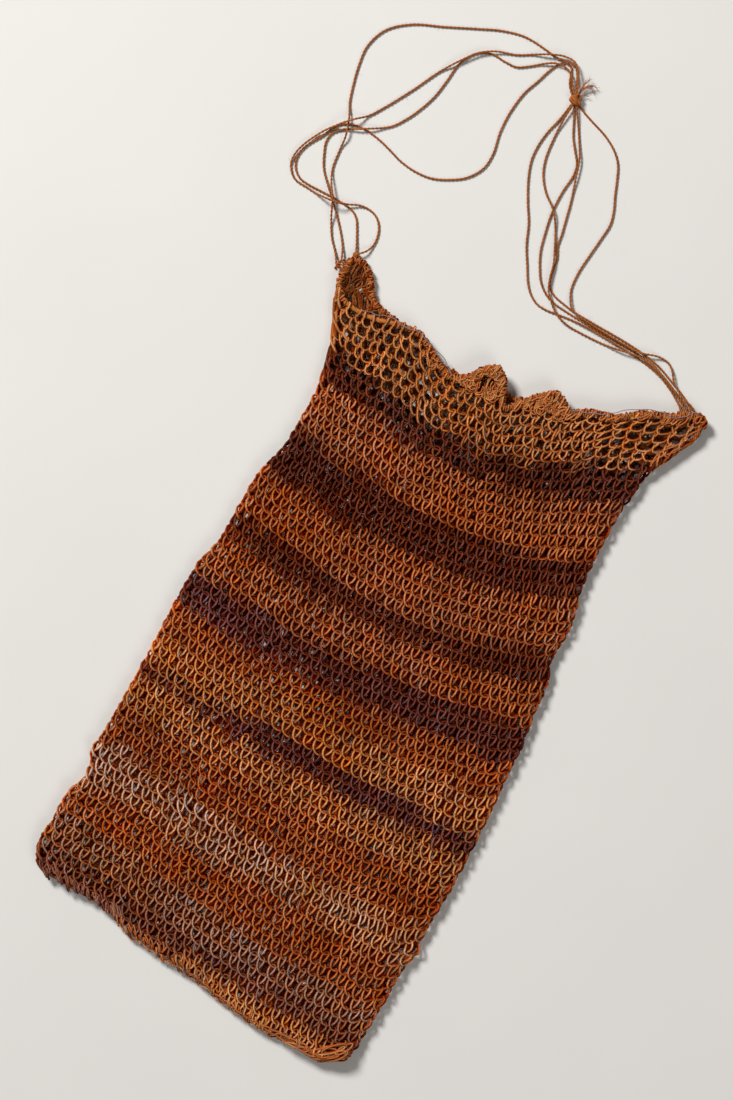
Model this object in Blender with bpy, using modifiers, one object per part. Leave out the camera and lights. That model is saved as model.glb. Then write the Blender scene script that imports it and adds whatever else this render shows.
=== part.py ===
"""A knotted string bag, lying flat: a looped net pouch with a foundation cord round its mouth, and a
handle of long strings that are tied in one knot.

The bag lies on the surface z = 0 with its mouth towards +Y. Tables are in millimetres, in the drawing
of the bag from above: x across it from its middle line, y along it from its lower left corner.
"""

import bisect
import math

import bmesh
import bpy
from mathutils import Vector
from mathutils.kdtree import KDTree

MM = 0.001

# Driving dimensions, in millimetres
WALL = 3.0  # one layer of looped string
POCKET = 6.2  # clear height inside the bag
STRING = 2.3  # diameter of the handle strings
RIM_CORD = 4.0  # diameter of the foundation cord with the loops round it
GAP = 0.3  # between neighbouring pieces
RIM_GAP = 0.65  # between the mouth's edge and the foundation cord, at the middle of its bends
CORNER_CLEAR = 1.0  # more of it where the mouth turns from the front to the back
ORIGIN = (-16.4, 323.0)  # the drawing's point that is the part's origin, the middle of the pouch's box
ROUND = (2 * WALL + POCKET) / 2  # radius of the bag's sides and bottom edge
SIDE_FADE = 25.0  # how near the sides the front's swellings die out
CLOSING_HIGH = 3.2  # how far the rolled bottom row stands up
CLOSING_WIDE = 15.0  # how far it reaches up the front
ROLL_STARTS = (-88.0, -60.0)  # from x to x, where the bottom edge begins to roll up
BUNCH_STARTS = (110.0, 150.0)  # from x to x, where the roll bunches up towards the right corner
ROLL_BUNCHES = 0.5  # how much higher it stands there, as a share
MOUTH_FADE = 26.0  # how far down the front the mouth's curls reach
HUMP = 19.0  # half the length over which a string rises to pass over another
HUMP_TOP = 3.0  # half the length of its level top
SPREAD = 1.12  # how much wider than their size crossing strings pass each other, for their flat sides
STRING_STEP = 7.0  # between the points of a handle string's tube
ROUTE_STEP = 0.5  # between the points at which its height is worked out, and at which it may end
END_GAP = 0.55  # between a string's end and the knot or binding that holds it
ON_FLOOR = STRING / 2 + 0.05  # the height of a string's middle where it lies on the surface

# The bag's outline from above. Each edge is a smooth line through these points.
BOTTOM_EDGE = [  # x, y, from left to right
    (-172, 7), (-165.5, 2), (-138, 1.5), (-87.5, 0), (-69, -6.5), (-55, -8.5), (-18.5, -11),
    (0, -11.5), (27.5, -16), (46, -18.5), (78, -22), (92, -22), (110.5, -20), (124, -19.5),
    (142.5, -21), (158, -12), (165.5, -6.5), (169, 7.5),
]
LEFT_SIDE = [  # y, x, from the bottom to above the mouth's corner
    (-14, -163), (7, -173), (18, -177.5), (28, -181), (48, -179.5), (82, -179.5), (93, -174),
    (108, -174.5), (123, -181), (135, -179.5), (220, -179.5), (290, -182), (322, -181),
    (350, -175), (386, -175), (423, -174), (450, -167), (490, -165.5), (518, -167), (543, -172),
    (562, -178), (580, -187), (598, -195), (612, -200), (622, -200.5), (635, -198),
]
RIGHT_SIDE = [  # y, x, from the bottom to above the mouth's corner
    (-24, 163), (7.5, 169.5), (22, 170), (60, 171), (98, 171.5), (110, 175.5), (122, 172),
    (184, 172), (235, 170), (285, 165.5), (325, 163), (355, 157.5), (382, 155), (405, 147),
    (442, 146.5), (475, 138), (500, 135), (550, 133.5), (580, 136), (600, 139), (617, 147),
    (633, 154), (646, 160), (655, 161.5), (668, 160),
]
FRONT_MOUTH = [  # x, y, how far the edge gapes or curls up, from left to right
    (-201, 618, 0), (-197.5, 608.5, 0), (-192.3, 600, 0), (-184, 593.5, 0), (-171, 591, 0.8),
    (-152, 592, 1.5), (-129, 598.5, 1.5), (-110, 601, 1.5), (-92, 593.5, 1.5), (-78, 585.5, 1.5),
    (-66, 580.5, 1.5), (-56, 583, 2), (-48, 592, 3.5), (-41, 602.5, 6), (-33, 609, 7),
    (-24, 606, 6.5), (-17, 596, 4), (-13, 587, 2.5), (-9.5, 582.5, 1.5), (-5, 582, 1.5),
    (-0.5, 587, 1.5), (7.5, 597.5, 2), (16.5, 608.5, 3), (26, 615.5, 4), (35, 613, 3), (43, 607.5, 2),
    (55, 612.5, 1.5), (69, 619.5, 1.5), (83, 623, 1.5), (92, 630, 1.5), (103, 639, 1), (115, 644.5, 0.5),
    (129, 650.5, 0), (140, 657, 0), (149, 662, 0), (156, 661.5, 0), (162, 655, 0),
]
BACK_MOUTH = [  # x, y, from left to right; it shows above the front at the left and near the middle
    (-201, 618), (-198.5, 627), (-193.5, 631.5), (-185.5, 630.5), (-177, 625.5), (-170, 617),
    (-162, 608), (-153, 603), (-138, 601), (-110, 598), (-88, 588), (-66, 585.5), (-45, 588),
    (-20, 590), (0, 594), (20, 604), (45, 606), (70, 614), (95, 626), (115, 639), (129, 646),
    (141, 653.5), (149, 659), (156, 660), (162, 655),
]
SPAN = 345.0  # the usual width
HEIGHT = 625.0  # the usual length
COLUMNS = [  # share of the width, steps of the grid up to the next share
    (0.0, 9), (0.36, 18), (0.68, 10), (1.0, 0),
]
ROWS = 23  # steps of the grid from the closing row to the mouth
RIPPLES = [  # height, wavelength across, wavelength along, shift: low swellings of the front
    (0.45, 150, 210, 0.3), (0.35, 83, -330, 1.9), (0.30, 310, 118, 4.1), (0.25, 61, 95, 2.6),
]

# The knot, the corner bead and the corner bindings
KNOT = dict(centre=(-93.0, 862.0, 4.3), size=(11.0, 9.0, 8.4), turn=-25)
BEAD = dict(centre=(-196.5, 638.2, 3.3), size=(6.2, 5.8, 6.0), turn=0)
LUMP_RIDGE = 0.05  # how far the turns of string stand out of a knot, as a share of its size
LEAST_SHARE = 0.12  # the square of the least share of a knot's width that stops a string over or under it
BINDING_WIDE = 4.2  # across one binding
BINDINGS = {  # the points of each binding's middle line, just outside the rim
    "binding_left": [(-205.7, 616.5, 8.2), (-205.4, 622.0, 6.8), (-204.2, 628.5, 5.0)],
    "binding_right": [(132.3, 659.1, 7.3), (140.4, 663.9, 7.4), (148.1, 666.2, 7.5)],
}

# The handle strings, each in the order in which it is laid down: how far it rises from the surface to
# the mouth's corner, and its route from above, x and y from the corner to the knot
STRINGS = {
    "string_left_4": (1.4, [
        (-196.5, 638), (-200, 645.5), (-204, 653), (-208.5, 661), (-213, 667.5), (-219, 671.5),
        (-227, 673), (-240, 673.5), (-254, 673), (-267, 672.5), (-276, 673.5), (-283, 678),
        (-287.5, 685), (-288.5, 693), (-286.5, 702), (-282.5, 710), (-278, 717.5), (-274.5, 726),
        (-268.5, 735.5), (-258, 741), (-246.5, 742.5), (-232, 741), (-218, 737.5), (-204, 733.5),
        (-188, 732), (-172, 734), (-157, 741), (-143.5, 751), (-134.5, 766), (-133.5, 782),
        (-138, 803), (-139, 823.5), (-136.5, 845), (-131, 861), (-127, 874), (-122, 884),
        (-116.5, 888), (-110.5, 886.5), (-107.5, 880), (-104.5, 873), (-93, 861),
    ]),
    "string_left_3": (3.6, [
        (-204.5, 625), (-210.5, 638), (-218, 648), (-227, 658), (-239, 670), (-251, 681),
        (-262, 692.5), (-269, 705.5), (-272.5, 715), (-271.5, 724), (-264, 732.5), (-250, 741),
        (-236, 750), (-226.5, 758), (-218, 771), (-212, 784), (-206.5, 801), (-204, 819),
        (-202, 838), (-194, 853.5), (-181, 861), (-166.5, 861), (-155, 862), (-145, 868.5),
        (-134, 877.5), (-124.5, 883), (-115.5, 884), (-107.5, 880.5), (-101.5, 873), (-93, 862),
    ]),
    "string_left_1": (4.2, [
        (-205.3, 618), (-213.5, 630), (-224, 641.5), (-233.5, 657), (-241, 672.5), (-249.5, 685),
        (-255, 697), (-257.5, 713), (-259.5, 729.5), (-265, 744.5), (-272, 758), (-277, 773),
        (-281.5, 791), (-283.5, 810), (-276.5, 831), (-258, 848), (-231, 861), (-203, 875),
        (-184, 884), (-163, 890), (-140, 889.5), (-128, 888), (-117, 889.5), (-108.5, 889.5),
        (-103, 884), (-99, 875.5), (-92, 862),
    ]),
    "string_left_2": (1.4, [
        (-196, 638.5), (-189.5, 646), (-186.8, 655), (-188, 664), (-192, 672.5), (-199, 678.5),
        (-208, 680.5), (-217, 679), (-226, 674.5), (-236, 670.5), (-250, 669), (-266, 669.5),
        (-279.5, 670.5), (-286.5, 675.5), (-291, 683), (-291.5, 692), (-289, 702), (-284.5, 712.5),
        (-279, 722.5), (-270.5, 733.5), (-260.5, 744.5), (-250, 755.5), (-241, 770),
        (-227, 796), (-214, 823), (-201.5, 842.5), (-191, 856), (-178, 865), (-160, 872),
        (-146, 880.5), (-132, 888), (-120, 892.5), (-110, 892), (-103.5, 886), (-98, 876),
        (-91.5, 863),
    ]),
    "string_right_3": (3.8, [
        (141, 664), (137, 668.3), (129, 673), (119.5, 676.7), (110.5, 680.5), (101, 684),
        (92, 687), (78, 688.5), (60, 689), (42, 689), (18, 689.2), (0, 689.5), (-16, 690.8),
        (-26, 694), (-36, 701.5), (-43.5, 712), (-50.5, 725.5), (-55.5, 743), (-59.5, 763),
        (-60.5, 783), (-59.5, 803), (-62, 812.5), (-69, 821.5), (-77, 832), (-84, 845), (-92, 860),
    ]),
    "string_right_5": (3.8, [
        (135.5, 661), (131, 666.3), (122, 672.3), (110.5, 678), (101, 681.5), (88, 684.3),
        (68, 686), (44, 686.6), (22, 686.6), (6, 685.5), (-8, 683.5), (-20, 681.7), (-30, 682.5),
        (-39, 687.5), (-46.5, 695.5), (-54.5, 708), (-64.5, 724), (-73.5, 743.5), (-84, 760),
        (-94, 778.5), (-100, 795), (-101.3, 808), (-100, 824), (-96.5, 839), (-94.5, 852),
        (-93.5, 861),
    ]),
    "string_right_2": (3.8, [
        (144, 665.3), (139.5, 670.2), (129.5, 676), (119.5, 680), (108, 684.5), (96, 688.5),
        (82, 691), (62, 692.6), (40, 692.8), (18, 692.8), (3, 693), (-8, 694.6), (-18, 696.5),
        (-25.5, 700.5), (-29.5, 707), (-32, 717), (-34.5, 728.5), (-39.3, 738), (-41.5, 749),
        (-45.5, 765), (-50, 782), (-56.5, 801), (-61.5, 816), (-68.5, 828.5), (-78, 843),
        (-84.5, 852), (-92, 862),
    ]),
    "string_right_1": (3.8, [
        (146.5, 665.8), (144.4, 669.4), (139.5, 671.6), (133, 673.2), (124, 677.2), (116.5, 682), (112.5, 687),
        (108.5, 692), (103.5, 695.5), (98, 696.5), (91, 695.8), (84, 693.5), (76, 690.8),
        (60, 690), (40, 690.2), (20, 691), (8, 691.8), (0.5, 694.5), (-5, 701.5), (-9, 711),
        (-10.6, 727), (-9.5, 745), (-8, 764), (-7.3, 779), (-10.5, 791), (-17, 805),
        (-22.5, 818), (-29, 831), (-38, 840), (-52, 847.8), (-69, 853.3), (-80, 857), (-92, 862),
    ]),
    "string_right_4": (3.8, [
        (138.5, 662.7), (134, 667.5), (125, 673), (113, 678.3), (101, 682.8), (90, 686),
        (80, 687.2), (70, 686), (56, 683), (40, 680.6), (22, 679.4), (4, 679.4), (-8.5, 682.8),
        (-19, 690.5), (-26.5, 698.5), (-31, 709), (-34.5, 721.5), (-41.4, 736), (-49.7, 751.6),
        (-59.5, 764.3), (-73, 775), (-83, 787), (-89, 801), (-92, 821), (-93, 840), (-92.5, 861),
    ]),
}

# The frayed ends that stand out of the knot: length, turn from +X in degrees, rise of the tip
TUFT_ROOT = (-89.2, 867.8, 4.0)
TUFT_ENDS = [
    (13, -4, 1.2), (15, 9, 0.7), (17, 22, 2.5), (14, 34, 0.8), (18, 46, 1.5), (13, 58, 3.0),
    (16, 70, 0.8), (18, 83, 1.8), (15, 97, 1.0),
]
TUFT_THICK = 1.3

COLOURS = {  # linear red, green, blue
    "net": (0.36, 0.12, 0.035),
    "rim": (0.46, 0.20, 0.075),
    "string": (0.50, 0.23, 0.10),
    "frayed": (0.55, 0.33, 0.18),
}


def start_scene(name):
    """An empty scene with one collection named for the object."""
    for obj in list(bpy.data.objects):
        bpy.data.objects.remove(obj, do_unlink=True)
    parts = bpy.data.collections.new(name)
    bpy.context.scene.collection.children.link(parts)
    return parts


def fibre(name, colour):
    """Dry plant fibre: rough, without gloss."""
    mat = bpy.data.materials.new(name)
    mat.use_nodes = True
    shader = mat.node_tree.nodes["Principled BSDF"]
    shader.inputs["Base Color"].default_value = (*COLOURS[colour], 1)
    shader.inputs["Roughness"].default_value = 0.85
    shader.inputs["Metallic"].default_value = 0.0
    mat.diffuse_color = (*COLOURS[colour], 1)
    return mat


def add_object(parts, name, data, colour):
    """One named sub-part with a material of its own."""
    obj = bpy.data.objects.new(name, data)
    data.materials.append(fibre(name + "_fibre", colour))
    parts.objects.link(obj)
    return obj


def place(point):
    """A point of the drawing, in metres in the part's frame."""
    return Vector((point[0] - ORIGIN[0], point[1] - ORIGIN[1], point[2])) * MM


def smooth(points, step):
    """A smooth line through the points, as points about one step apart."""
    knots = [Vector((*p, 0.0)[:3]) for p in points]
    knots = [2 * knots[0] - knots[1], *knots, 2 * knots[-1] - knots[-2]]
    fine = [knots[1]]
    for a, b, c, d in zip(knots, knots[1:], knots[2:], knots[3:]):
        t1 = math.sqrt((b - a).length)
        t2 = t1 + math.sqrt((c - b).length)
        t3 = t2 + math.sqrt((d - c).length)
        for k in range(1, 17):
            t = t1 + (t2 - t1) * k / 16
            ab = a.lerp(b, t / t1)
            bc = b.lerp(c, (t - t1) / (t2 - t1))
            cd = c.lerp(d, (t - t2) / (t3 - t2))
            abc = ab.lerp(bc, t / t2)
            bcd = bc.lerp(cd, (t - t1) / (t3 - t1))
            fine.append(abc.lerp(bcd, (t - t1) / (t2 - t1)))
    length = sum((b - a).length for a, b in zip(fine, fine[1:]))
    return spaced(fine, max(2, round(length / step)))


def spaced(line, steps):
    """The line again, in even steps."""
    runs = [(b - a).length for a, b in zip(line, line[1:])]
    total = sum(runs)
    out = [line[0].copy()]
    done, i = 0.0, 0
    for k in range(1, steps):
        at = total * k / steps
        while done + runs[i] < at:
            done += runs[i]
            i += 1
        out.append(line[i].lerp(line[i + 1], (at - done) / runs[i]))
    return [*out, line[-1].copy()]


class Profile:
    """A smooth line through a table's points, read by its first column."""

    def __init__(self, table):
        self.line = smooth(table, 1.0)
        self.keys = [p.x for p in self.line]

    def at(self, key):
        i = min(max(bisect.bisect_left(self.keys, key), 1), len(self.keys) - 1)
        a, b = self.line[i - 1], self.line[i]
        return a.lerp(b, min(1.0, max(0.0, (key - a.x) / (b.x - a.x))))


LEFT, RIGHT = Profile(LEFT_SIDE), Profile(RIGHT_SIDE)


def across_at(y, share):
    """The x of a place at a share of the width, at this height of the outline."""
    return LEFT.at(y).y * (1 - share) + RIGHT.at(y).y * share


def meets(edge, share, start):
    """Where the column at a share of the width meets a lower or upper edge: y, and the edge's curl."""
    y = start
    for _ in range(40):
        point = edge.at(across_at(y, share))
        y = (y + point.y) / 2
    return y, point.z


def stations():
    """The shares of the width and of the length where the grid has its lines."""
    turn = [ROUND * (1 - math.cos(math.radians(a))) for a in (0, 35, 60, 90)]
    across = [t / SPAN for t in turn]
    low, high = across[-1], 1 - across[-1]
    inner = []
    for (share, steps), (after, _) in zip(COLUMNS, COLUMNS[1:]):
        inner += [low + (high - low) * (share + (after - share) * k / steps) for k in range(steps)]
    across += inner[1:] + [1 - share for share in reversed(across)]
    up = [t / HEIGHT for t in turn] + [d / HEIGHT for d in (9.5, 13.0, CLOSING_WIDE + 2.0)]
    first = up[-1]
    up += [first + (1 - first) * k / ROWS for k in range(1, ROWS + 1)]
    return across, up


def rounding(inward):
    """From 0 at an outer edge to 1 where the bag has its full thickness."""
    if inward >= ROUND * 0.9999:
        return 1.0
    return math.sqrt(max(0.0, 1 - (1 - inward / ROUND) ** 2))


def ramp(x, low, high):
    """A smooth rise from 0 at low to 1 at high."""
    t = min(1.0, max(0.0, (x - low) / (high - low)))
    return t * t * (3 - 2 * t)


def swelling(x, y, from_bottom, from_mouth, curl):
    """How far the front stands above its flat level."""
    low = sum(h * math.sin(math.tau * (x / a + y / b) + s) for h, a, b, s in RIPPLES)
    rolled = math.sin(math.pi * min(1.0, from_bottom / CLOSING_WIDE)) * ramp(x, *ROLL_STARTS)
    bunched = 1 + ROLL_BUNCHES * ramp(x, *BUNCH_STARTS)
    return low + CLOSING_HIGH * rolled * bunched + curl * math.exp(-from_mouth / MOUTH_FADE)


def bag_grid():
    """The outside of the bag: front and back rows of points that share their ends and the bottom row."""
    bottom = Profile(BOTTOM_EDGE)
    across, up = stations()
    grids = []
    for mouth in (Profile(FRONT_MOUTH), Profile(BACK_MOUTH)):
        columns = [(meets(bottom, p, 0.0)[0], *meets(mouth, p, 610.0)) for p in across]
        grid = []
        for s in up:
            row = []
            for p, (low, high, curl) in zip(across, columns):
                y = low + (high - low) * s
                x = across_at(y, p)
                side = min(p, 1 - p) * SPAN
                full = rounding(side) * rounding(s * HEIGHT)
                if len(grids) == 0:
                    lift = swelling(x, y, s * HEIGHT, high - y, curl) * min(1.0, side / SIDE_FADE)
                    z = ROUND + full * (ROUND + lift)
                else:
                    z = ROUND - full * ROUND
                row.append(Vector((x, y, z)))
            grid.append(row)
        grids.append(grid)
    return grids


def make_bag(parts, front, back):
    """The looped pouch: the outside as a grid, thickened inwards to one layer of string."""
    bm = bmesh.new()
    rings = []
    for front_row, back_row in zip(front, back):
        ring = front_row + back_row[-2:0:-1]
        rings.append([bm.verts.new(place(p)) for p in ring])
    for low, high in zip(rings, rings[1:]):
        for i in range(len(low)):
            j = (i + 1) % len(low)
            bm.faces.new((low[i], low[j], high[j], high[i]))
    bmesh.ops.remove_doubles(bm, verts=bm.verts, dist=0.00001)
    bmesh.ops.recalc_face_normals(bm, faces=bm.faces)
    mesh = bpy.data.meshes.new("bag_body")
    bm.to_mesh(mesh)
    bm.free()
    bag = add_object(parts, "bag_body", mesh, "net")
    wall = bag.modifiers.new("One layer of looped string", "SOLIDIFY")
    wall.thickness = WALL * MM
    wall.offset = -1
    wall.use_even_offset = True
    flat = bag.modifiers.new("Flat underside", "DECIMATE")
    flat.decimate_type = "DISSOLVE"
    flat.angle_limit = math.radians(0.2)
    return bag


def tube(parts, name, line, diameter, colour, closed=False):
    """A string or cord along a line of points."""
    curve = bpy.data.curves.new(name, "CURVE")
    curve.dimensions = "3D"
    curve.bevel_depth = diameter / 2 * MM
    curve.bevel_resolution = 2
    curve.use_fill_caps = not closed
    spline = curve.splines.new("POLY")
    spline.points.add(len(line) - 1)
    for point, at in zip(spline.points, line):
        point.co = (*place(at), 1)
    spline.use_cyclic_u = closed
    return add_object(parts, name, curve, colour)


def rim_line(front, back):
    """The middle of the foundation cord: just outside the mouth's edge, level with the wall."""
    ring = front[-1] + back[-1][-2:0:-1]
    below = front[-2] + back[-2][-2:0:-1]
    line = []
    for i, point in enumerate(ring):
        before = (point - ring[i - 1]).normalized()
        after = (ring[(i + 1) % len(ring)] - point).normalized()
        run = (before + after).normalized()
        face = run.cross(point - below[i]).normalized()
        out = face.cross(run) / run.dot(after)
        clear = RIM_GAP + CORNER_CLEAR * (1 - abs(face.z))
        middle = point - face * (WALL / 2) + out * (RIM_CORD / 2 + clear)
        middle.z = max(middle.z, RIM_CORD / 2 + 0.1)
        line.append(middle)
    return line


def make_rim(parts, front, back):
    """The foundation cord, as a closed tube."""
    return tube(parts, "mouth_rim", rim_line(front, back), RIM_CORD, "rim", closed=True)


def bell(distance):
    """The profile of a string's rise over another, 1 in the middle and 0 one hump away."""
    slope = max(0.0, distance - HUMP_TOP) / (HUMP - HUMP_TOP)
    return math.cos(math.pi / 2 * slope) ** 2 if slope < 1 else 0.0


def lay_over(line, laid, corner_rise):
    """The line with each point as high as it has to be to pass over the strings laid before."""
    apart = (STRING + GAP) * SPREAD
    need = [0.0] * len(line)
    if laid:
        tree = KDTree(len(laid))
        for i, p in enumerate(laid):
            tree.insert((p.x, p.y, 0), i)
        tree.balance()
        for k, p in enumerate(line):
            for _, i, flat in tree.find_range((p.x, p.y, 0), apart):
                need[k] = max(need[k], laid[i].z + math.sqrt(apart**2 - flat**2) - ON_FLOOR)
    along = [0.0]
    for a, b in zip(line, line[1:]):
        along.append(along[-1] + math.hypot(b.x - a.x, b.y - a.y))
    reach = [k for k in range(len(line)) if need[k] > 0]
    out = []
    for k, p in enumerate(line):
        rise = max((need[i] * bell(abs(along[i] - along[k])) for i in reach), default=0.0)
        rise = max(rise, corner_rise * bell(along[k]))
        out.append(Vector((p.x, p.y, ON_FLOOR + rise)))
    return out


def meets_lump(point, lump):
    """Whether a string round this point would come nearer to a knot or bead than its end may."""
    away = Vector(point) - Vector(lump["centre"])
    level = max(0.0, abs(away.z) - STRING / 2) / (lump["size"][2] / 2)
    share = math.sqrt(max(LEAST_SHARE, 1 - level**2))
    angle = -math.radians(lump["turn"])
    x = away.x * math.cos(angle) - away.y * math.sin(angle)
    y = away.x * math.sin(angle) + away.y * math.cos(angle)
    wide, deep, _ = lump["size"]
    return math.hypot(x / (wide / 2 * share + END_GAP), y / (deep / 2 * share + END_GAP)) < 1


def meets_binding(point, axis):
    """Whether a point, seen from above, comes nearer to a binding than a string's end may."""
    for a, b in zip(axis, axis[1:]):
        start, run = Vector(a[:2]), Vector(b[:2]) - Vector(a[:2])
        t = min(1.0, max(0.0, (point.xy - start).dot(run) / run.length_squared))
        if (point.xy - start - run * t).length < BINDING_WIDE / 2 + END_GAP:
            return True
    return False


def make_strings(parts):
    """The handle strings, laid down one after another and cut where they meet a knot or binding."""
    laid = []
    for name, (corner_rise, route) in STRINGS.items():
        line = [
            p for p in smooth(route, ROUTE_STEP)
            if not any(meets_binding(p, axis) for axis in BINDINGS.values())
        ]
        kept = [
            p for p in lay_over(line, laid, corner_rise)
            if not meets_lump(p, KNOT) and not meets_lump(p, BEAD)
        ]
        laid += kept
        length = sum((b - a).length for a, b in zip(kept, kept[1:]))
        tube(parts, name, spaced(kept, round(length / STRING_STEP)), STRING, "string")


def make_lump(parts, name, lump, turns):
    """A knot or bead: a rounded lump with the string's turns standing out round it."""
    bm = bmesh.new()
    bmesh.ops.create_uvsphere(bm, u_segments=12, v_segments=8, radius=1.0)
    for v in bm.verts:
        ridge = 1 + LUMP_RIDGE * math.cos(turns * math.atan2(v.co.y, v.co.x) + 2.5 * v.co.z)
        v.co.x *= ridge * lump["size"][0] / 2 * MM
        v.co.y *= ridge * lump["size"][1] / 2 * MM
        v.co.z *= lump["size"][2] / 2 * MM
    mesh = bpy.data.meshes.new(name)
    bm.to_mesh(mesh)
    bm.free()
    obj = add_object(parts, name, mesh, "string")
    obj.location = place(lump["centre"])
    obj.rotation_euler.z = math.radians(lump["turn"])
    return obj


def make_bindings(parts):
    """The turns of string at the mouth's corners, as one plain rounded roll each."""
    for name, axis in BINDINGS.items():
        tube(parts, name, smooth(axis, 2.5), BINDING_WIDE, "string")


def make_tuft(parts):
    """The frayed ends: tapered strands with four sides, their roots joined in one small backing."""
    bm = bmesh.new()
    bmesh.ops.create_uvsphere(bm, u_segments=10, v_segments=6, radius=1.9 * MM)
    mesh = bpy.data.meshes.new("knot_tuft")
    bm.to_mesh(mesh)
    bm.free()
    tuft = add_object(parts, "knot_tuft", mesh, "frayed")
    tuft.location = place(TUFT_ROOT)
    cutters = bpy.data.collections.new("tuft strands")
    bpy.context.scene.collection.children.link(cutters)
    for i, (length, turn, rise) in enumerate(TUFT_ENDS):
        bm = bmesh.new()
        bmesh.ops.create_cone(
            bm, cap_ends=True, segments=4, radius1=TUFT_THICK / 2 * MM, radius2=TUFT_THICK / 6 * MM,
            depth=length * MM,
        )
        bmesh.ops.translate(bm, verts=bm.verts, vec=(0, 0, length / 2 * MM))
        strand_mesh = bpy.data.meshes.new(f"strand_{i}")
        bm.to_mesh(strand_mesh)
        bm.free()
        strand = bpy.data.objects.new(f"strand_{i}", strand_mesh)
        down = rise - TUFT_ROOT[2]
        angle = math.radians(turn)
        aim = Vector((math.cos(angle) * length, math.sin(angle) * length, down))
        strand.rotation_euler = aim.to_track_quat("Z", "Y").to_euler()
        strand.location = place(TUFT_ROOT)
        strand.hide_render = True
        strand.display_type = "WIRE"
        cutters.objects.link(strand)
        join = tuft.modifiers.new(f"Strand {i}", "BOOLEAN")
        join.operation = "UNION"
        join.object = strand
    return tuft


def main():
    parts = start_scene("knotted_string_bag")
    front, back = bag_grid()
    make_bag(parts, front, back)
    make_rim(parts, front, back)
    make_lump(parts, "handle_knot", KNOT, 3)
    make_lump(parts, "corner_bead", BEAD, 3)
    make_bindings(parts)
    make_strings(parts)
    make_tuft(parts)


main()
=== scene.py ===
"""The looks of a knotted string bag: a looped net pouch of dyed bark-fibre string, lying flat and empty.

The file is laid out as an add-on and run as a script. Its tables are in millimetres, in the drawing of the
bag from above: x across it from its middle line, y along it from its lower left corner, z up from the
surface that it lies on.
"""

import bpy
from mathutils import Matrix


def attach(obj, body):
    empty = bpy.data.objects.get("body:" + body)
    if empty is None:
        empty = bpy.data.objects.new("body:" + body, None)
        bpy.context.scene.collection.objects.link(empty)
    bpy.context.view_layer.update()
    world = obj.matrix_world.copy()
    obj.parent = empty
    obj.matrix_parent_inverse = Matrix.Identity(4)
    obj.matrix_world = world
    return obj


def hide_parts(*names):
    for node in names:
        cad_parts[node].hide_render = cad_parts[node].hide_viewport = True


bl_info = {
    "name": "Knotted string bag",
    "version": (1, 0, 0),
    "blender": (4, 5, 0),
    "location": "3D View > Sidebar > String bag",
    "description": "A flat looped string bag with a corded mouth and a handle of strings tied in a knot",
    "category": "Add Mesh",
}

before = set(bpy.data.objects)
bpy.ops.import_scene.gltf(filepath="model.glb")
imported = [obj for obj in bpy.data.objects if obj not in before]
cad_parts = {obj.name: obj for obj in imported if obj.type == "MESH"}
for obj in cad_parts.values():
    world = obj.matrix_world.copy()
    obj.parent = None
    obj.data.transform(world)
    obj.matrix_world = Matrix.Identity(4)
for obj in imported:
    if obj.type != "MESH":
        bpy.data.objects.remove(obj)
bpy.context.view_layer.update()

import math

import bpy
import numpy as np
from bpy.props import FloatProperty, FloatVectorProperty, IntProperty, PointerProperty
from mathutils import Vector

MM = 0.001
UP = (0.0, 0.0, 1.0)
SMOOTH_STEPS = 16  # in which a smooth line goes from one point of a table to the next
EDGE_STEPS = 40  # in which the place where a column of the fabric meets an edge is found
ORIGIN = (-16.4, 323.0)  # the drawing's point that is the part's origin
ROUND = 6.1  # radius of the pouch's sides and bottom edge
SIDE_FADE = 25.0  # how near the sides the front's swellings die out
CLOSING_HIGH = 3.2  # how far the rolled bottom row stands up
CLOSING_WIDE = 15.0  # how far it reaches up the front
ROLL_STARTS = (-88.0, -60.0)  # from x to x, where the bottom edge begins to roll up
BUNCH_STARTS = (110.0, 150.0)  # from x to x, where the roll bunches up towards the right corner
ROLL_BUNCHES = 0.5  # how much higher it stands there, as a share
MOUTH_FADE = 26.0  # how far down the front the mouth's curls reach
SPAN = 345.0  # the pouch's usual width
HEIGHT = 625.0  # its usual length
RIPPLES = [  # height, wavelength across, wavelength along, shift: low swellings of the front
    (0.45, 150, 210, 0.3), (0.35, 83, -330, 1.9), (0.30, 310, 118, 4.1), (0.25, 61, 95, 2.6),
]

# The pouch's outline from above. Each edge is a smooth line through these points.
BOTTOM_EDGE = [  # x, y, from left to right
    (-172, 7), (-165.5, 2), (-138, 1.5), (-87.5, 0), (-69, -6.5), (-55, -8.5), (-18.5, -11),
    (0, -11.5), (27.5, -16), (46, -18.5), (78, -22), (92, -22), (110.5, -20), (124, -19.5),
    (142.5, -21), (158, -12), (165.5, -6.5), (169, 7.5),
]
LEFT_SIDE = [  # y, x, from the bottom to above the mouth's corner
    (-14, -163), (7, -173), (18, -177.5), (28, -181), (48, -179.5), (82, -179.5), (93, -174),
    (108, -174.5), (123, -181), (135, -179.5), (220, -179.5), (290, -182), (322, -181),
    (350, -175), (386, -175), (423, -174), (450, -167), (490, -165.5), (518, -167), (543, -172),
    (562, -178), (580, -187), (598, -195), (612, -200), (622, -200.5), (635, -198),
]
RIGHT_SIDE = [  # y, x, from the bottom to above the mouth's corner
    (-24, 163), (7.5, 169.5), (22, 170), (60, 171), (98, 171.5), (110, 175.5), (122, 172),
    (184, 172), (235, 170), (285, 165.5), (325, 163), (355, 157.5), (382, 155), (405, 147),
    (442, 146.5), (475, 138), (500, 135), (550, 133.5), (580, 136), (600, 139), (617, 147),
    (633, 154), (646, 160), (655, 161.5), (668, 160),
]
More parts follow.
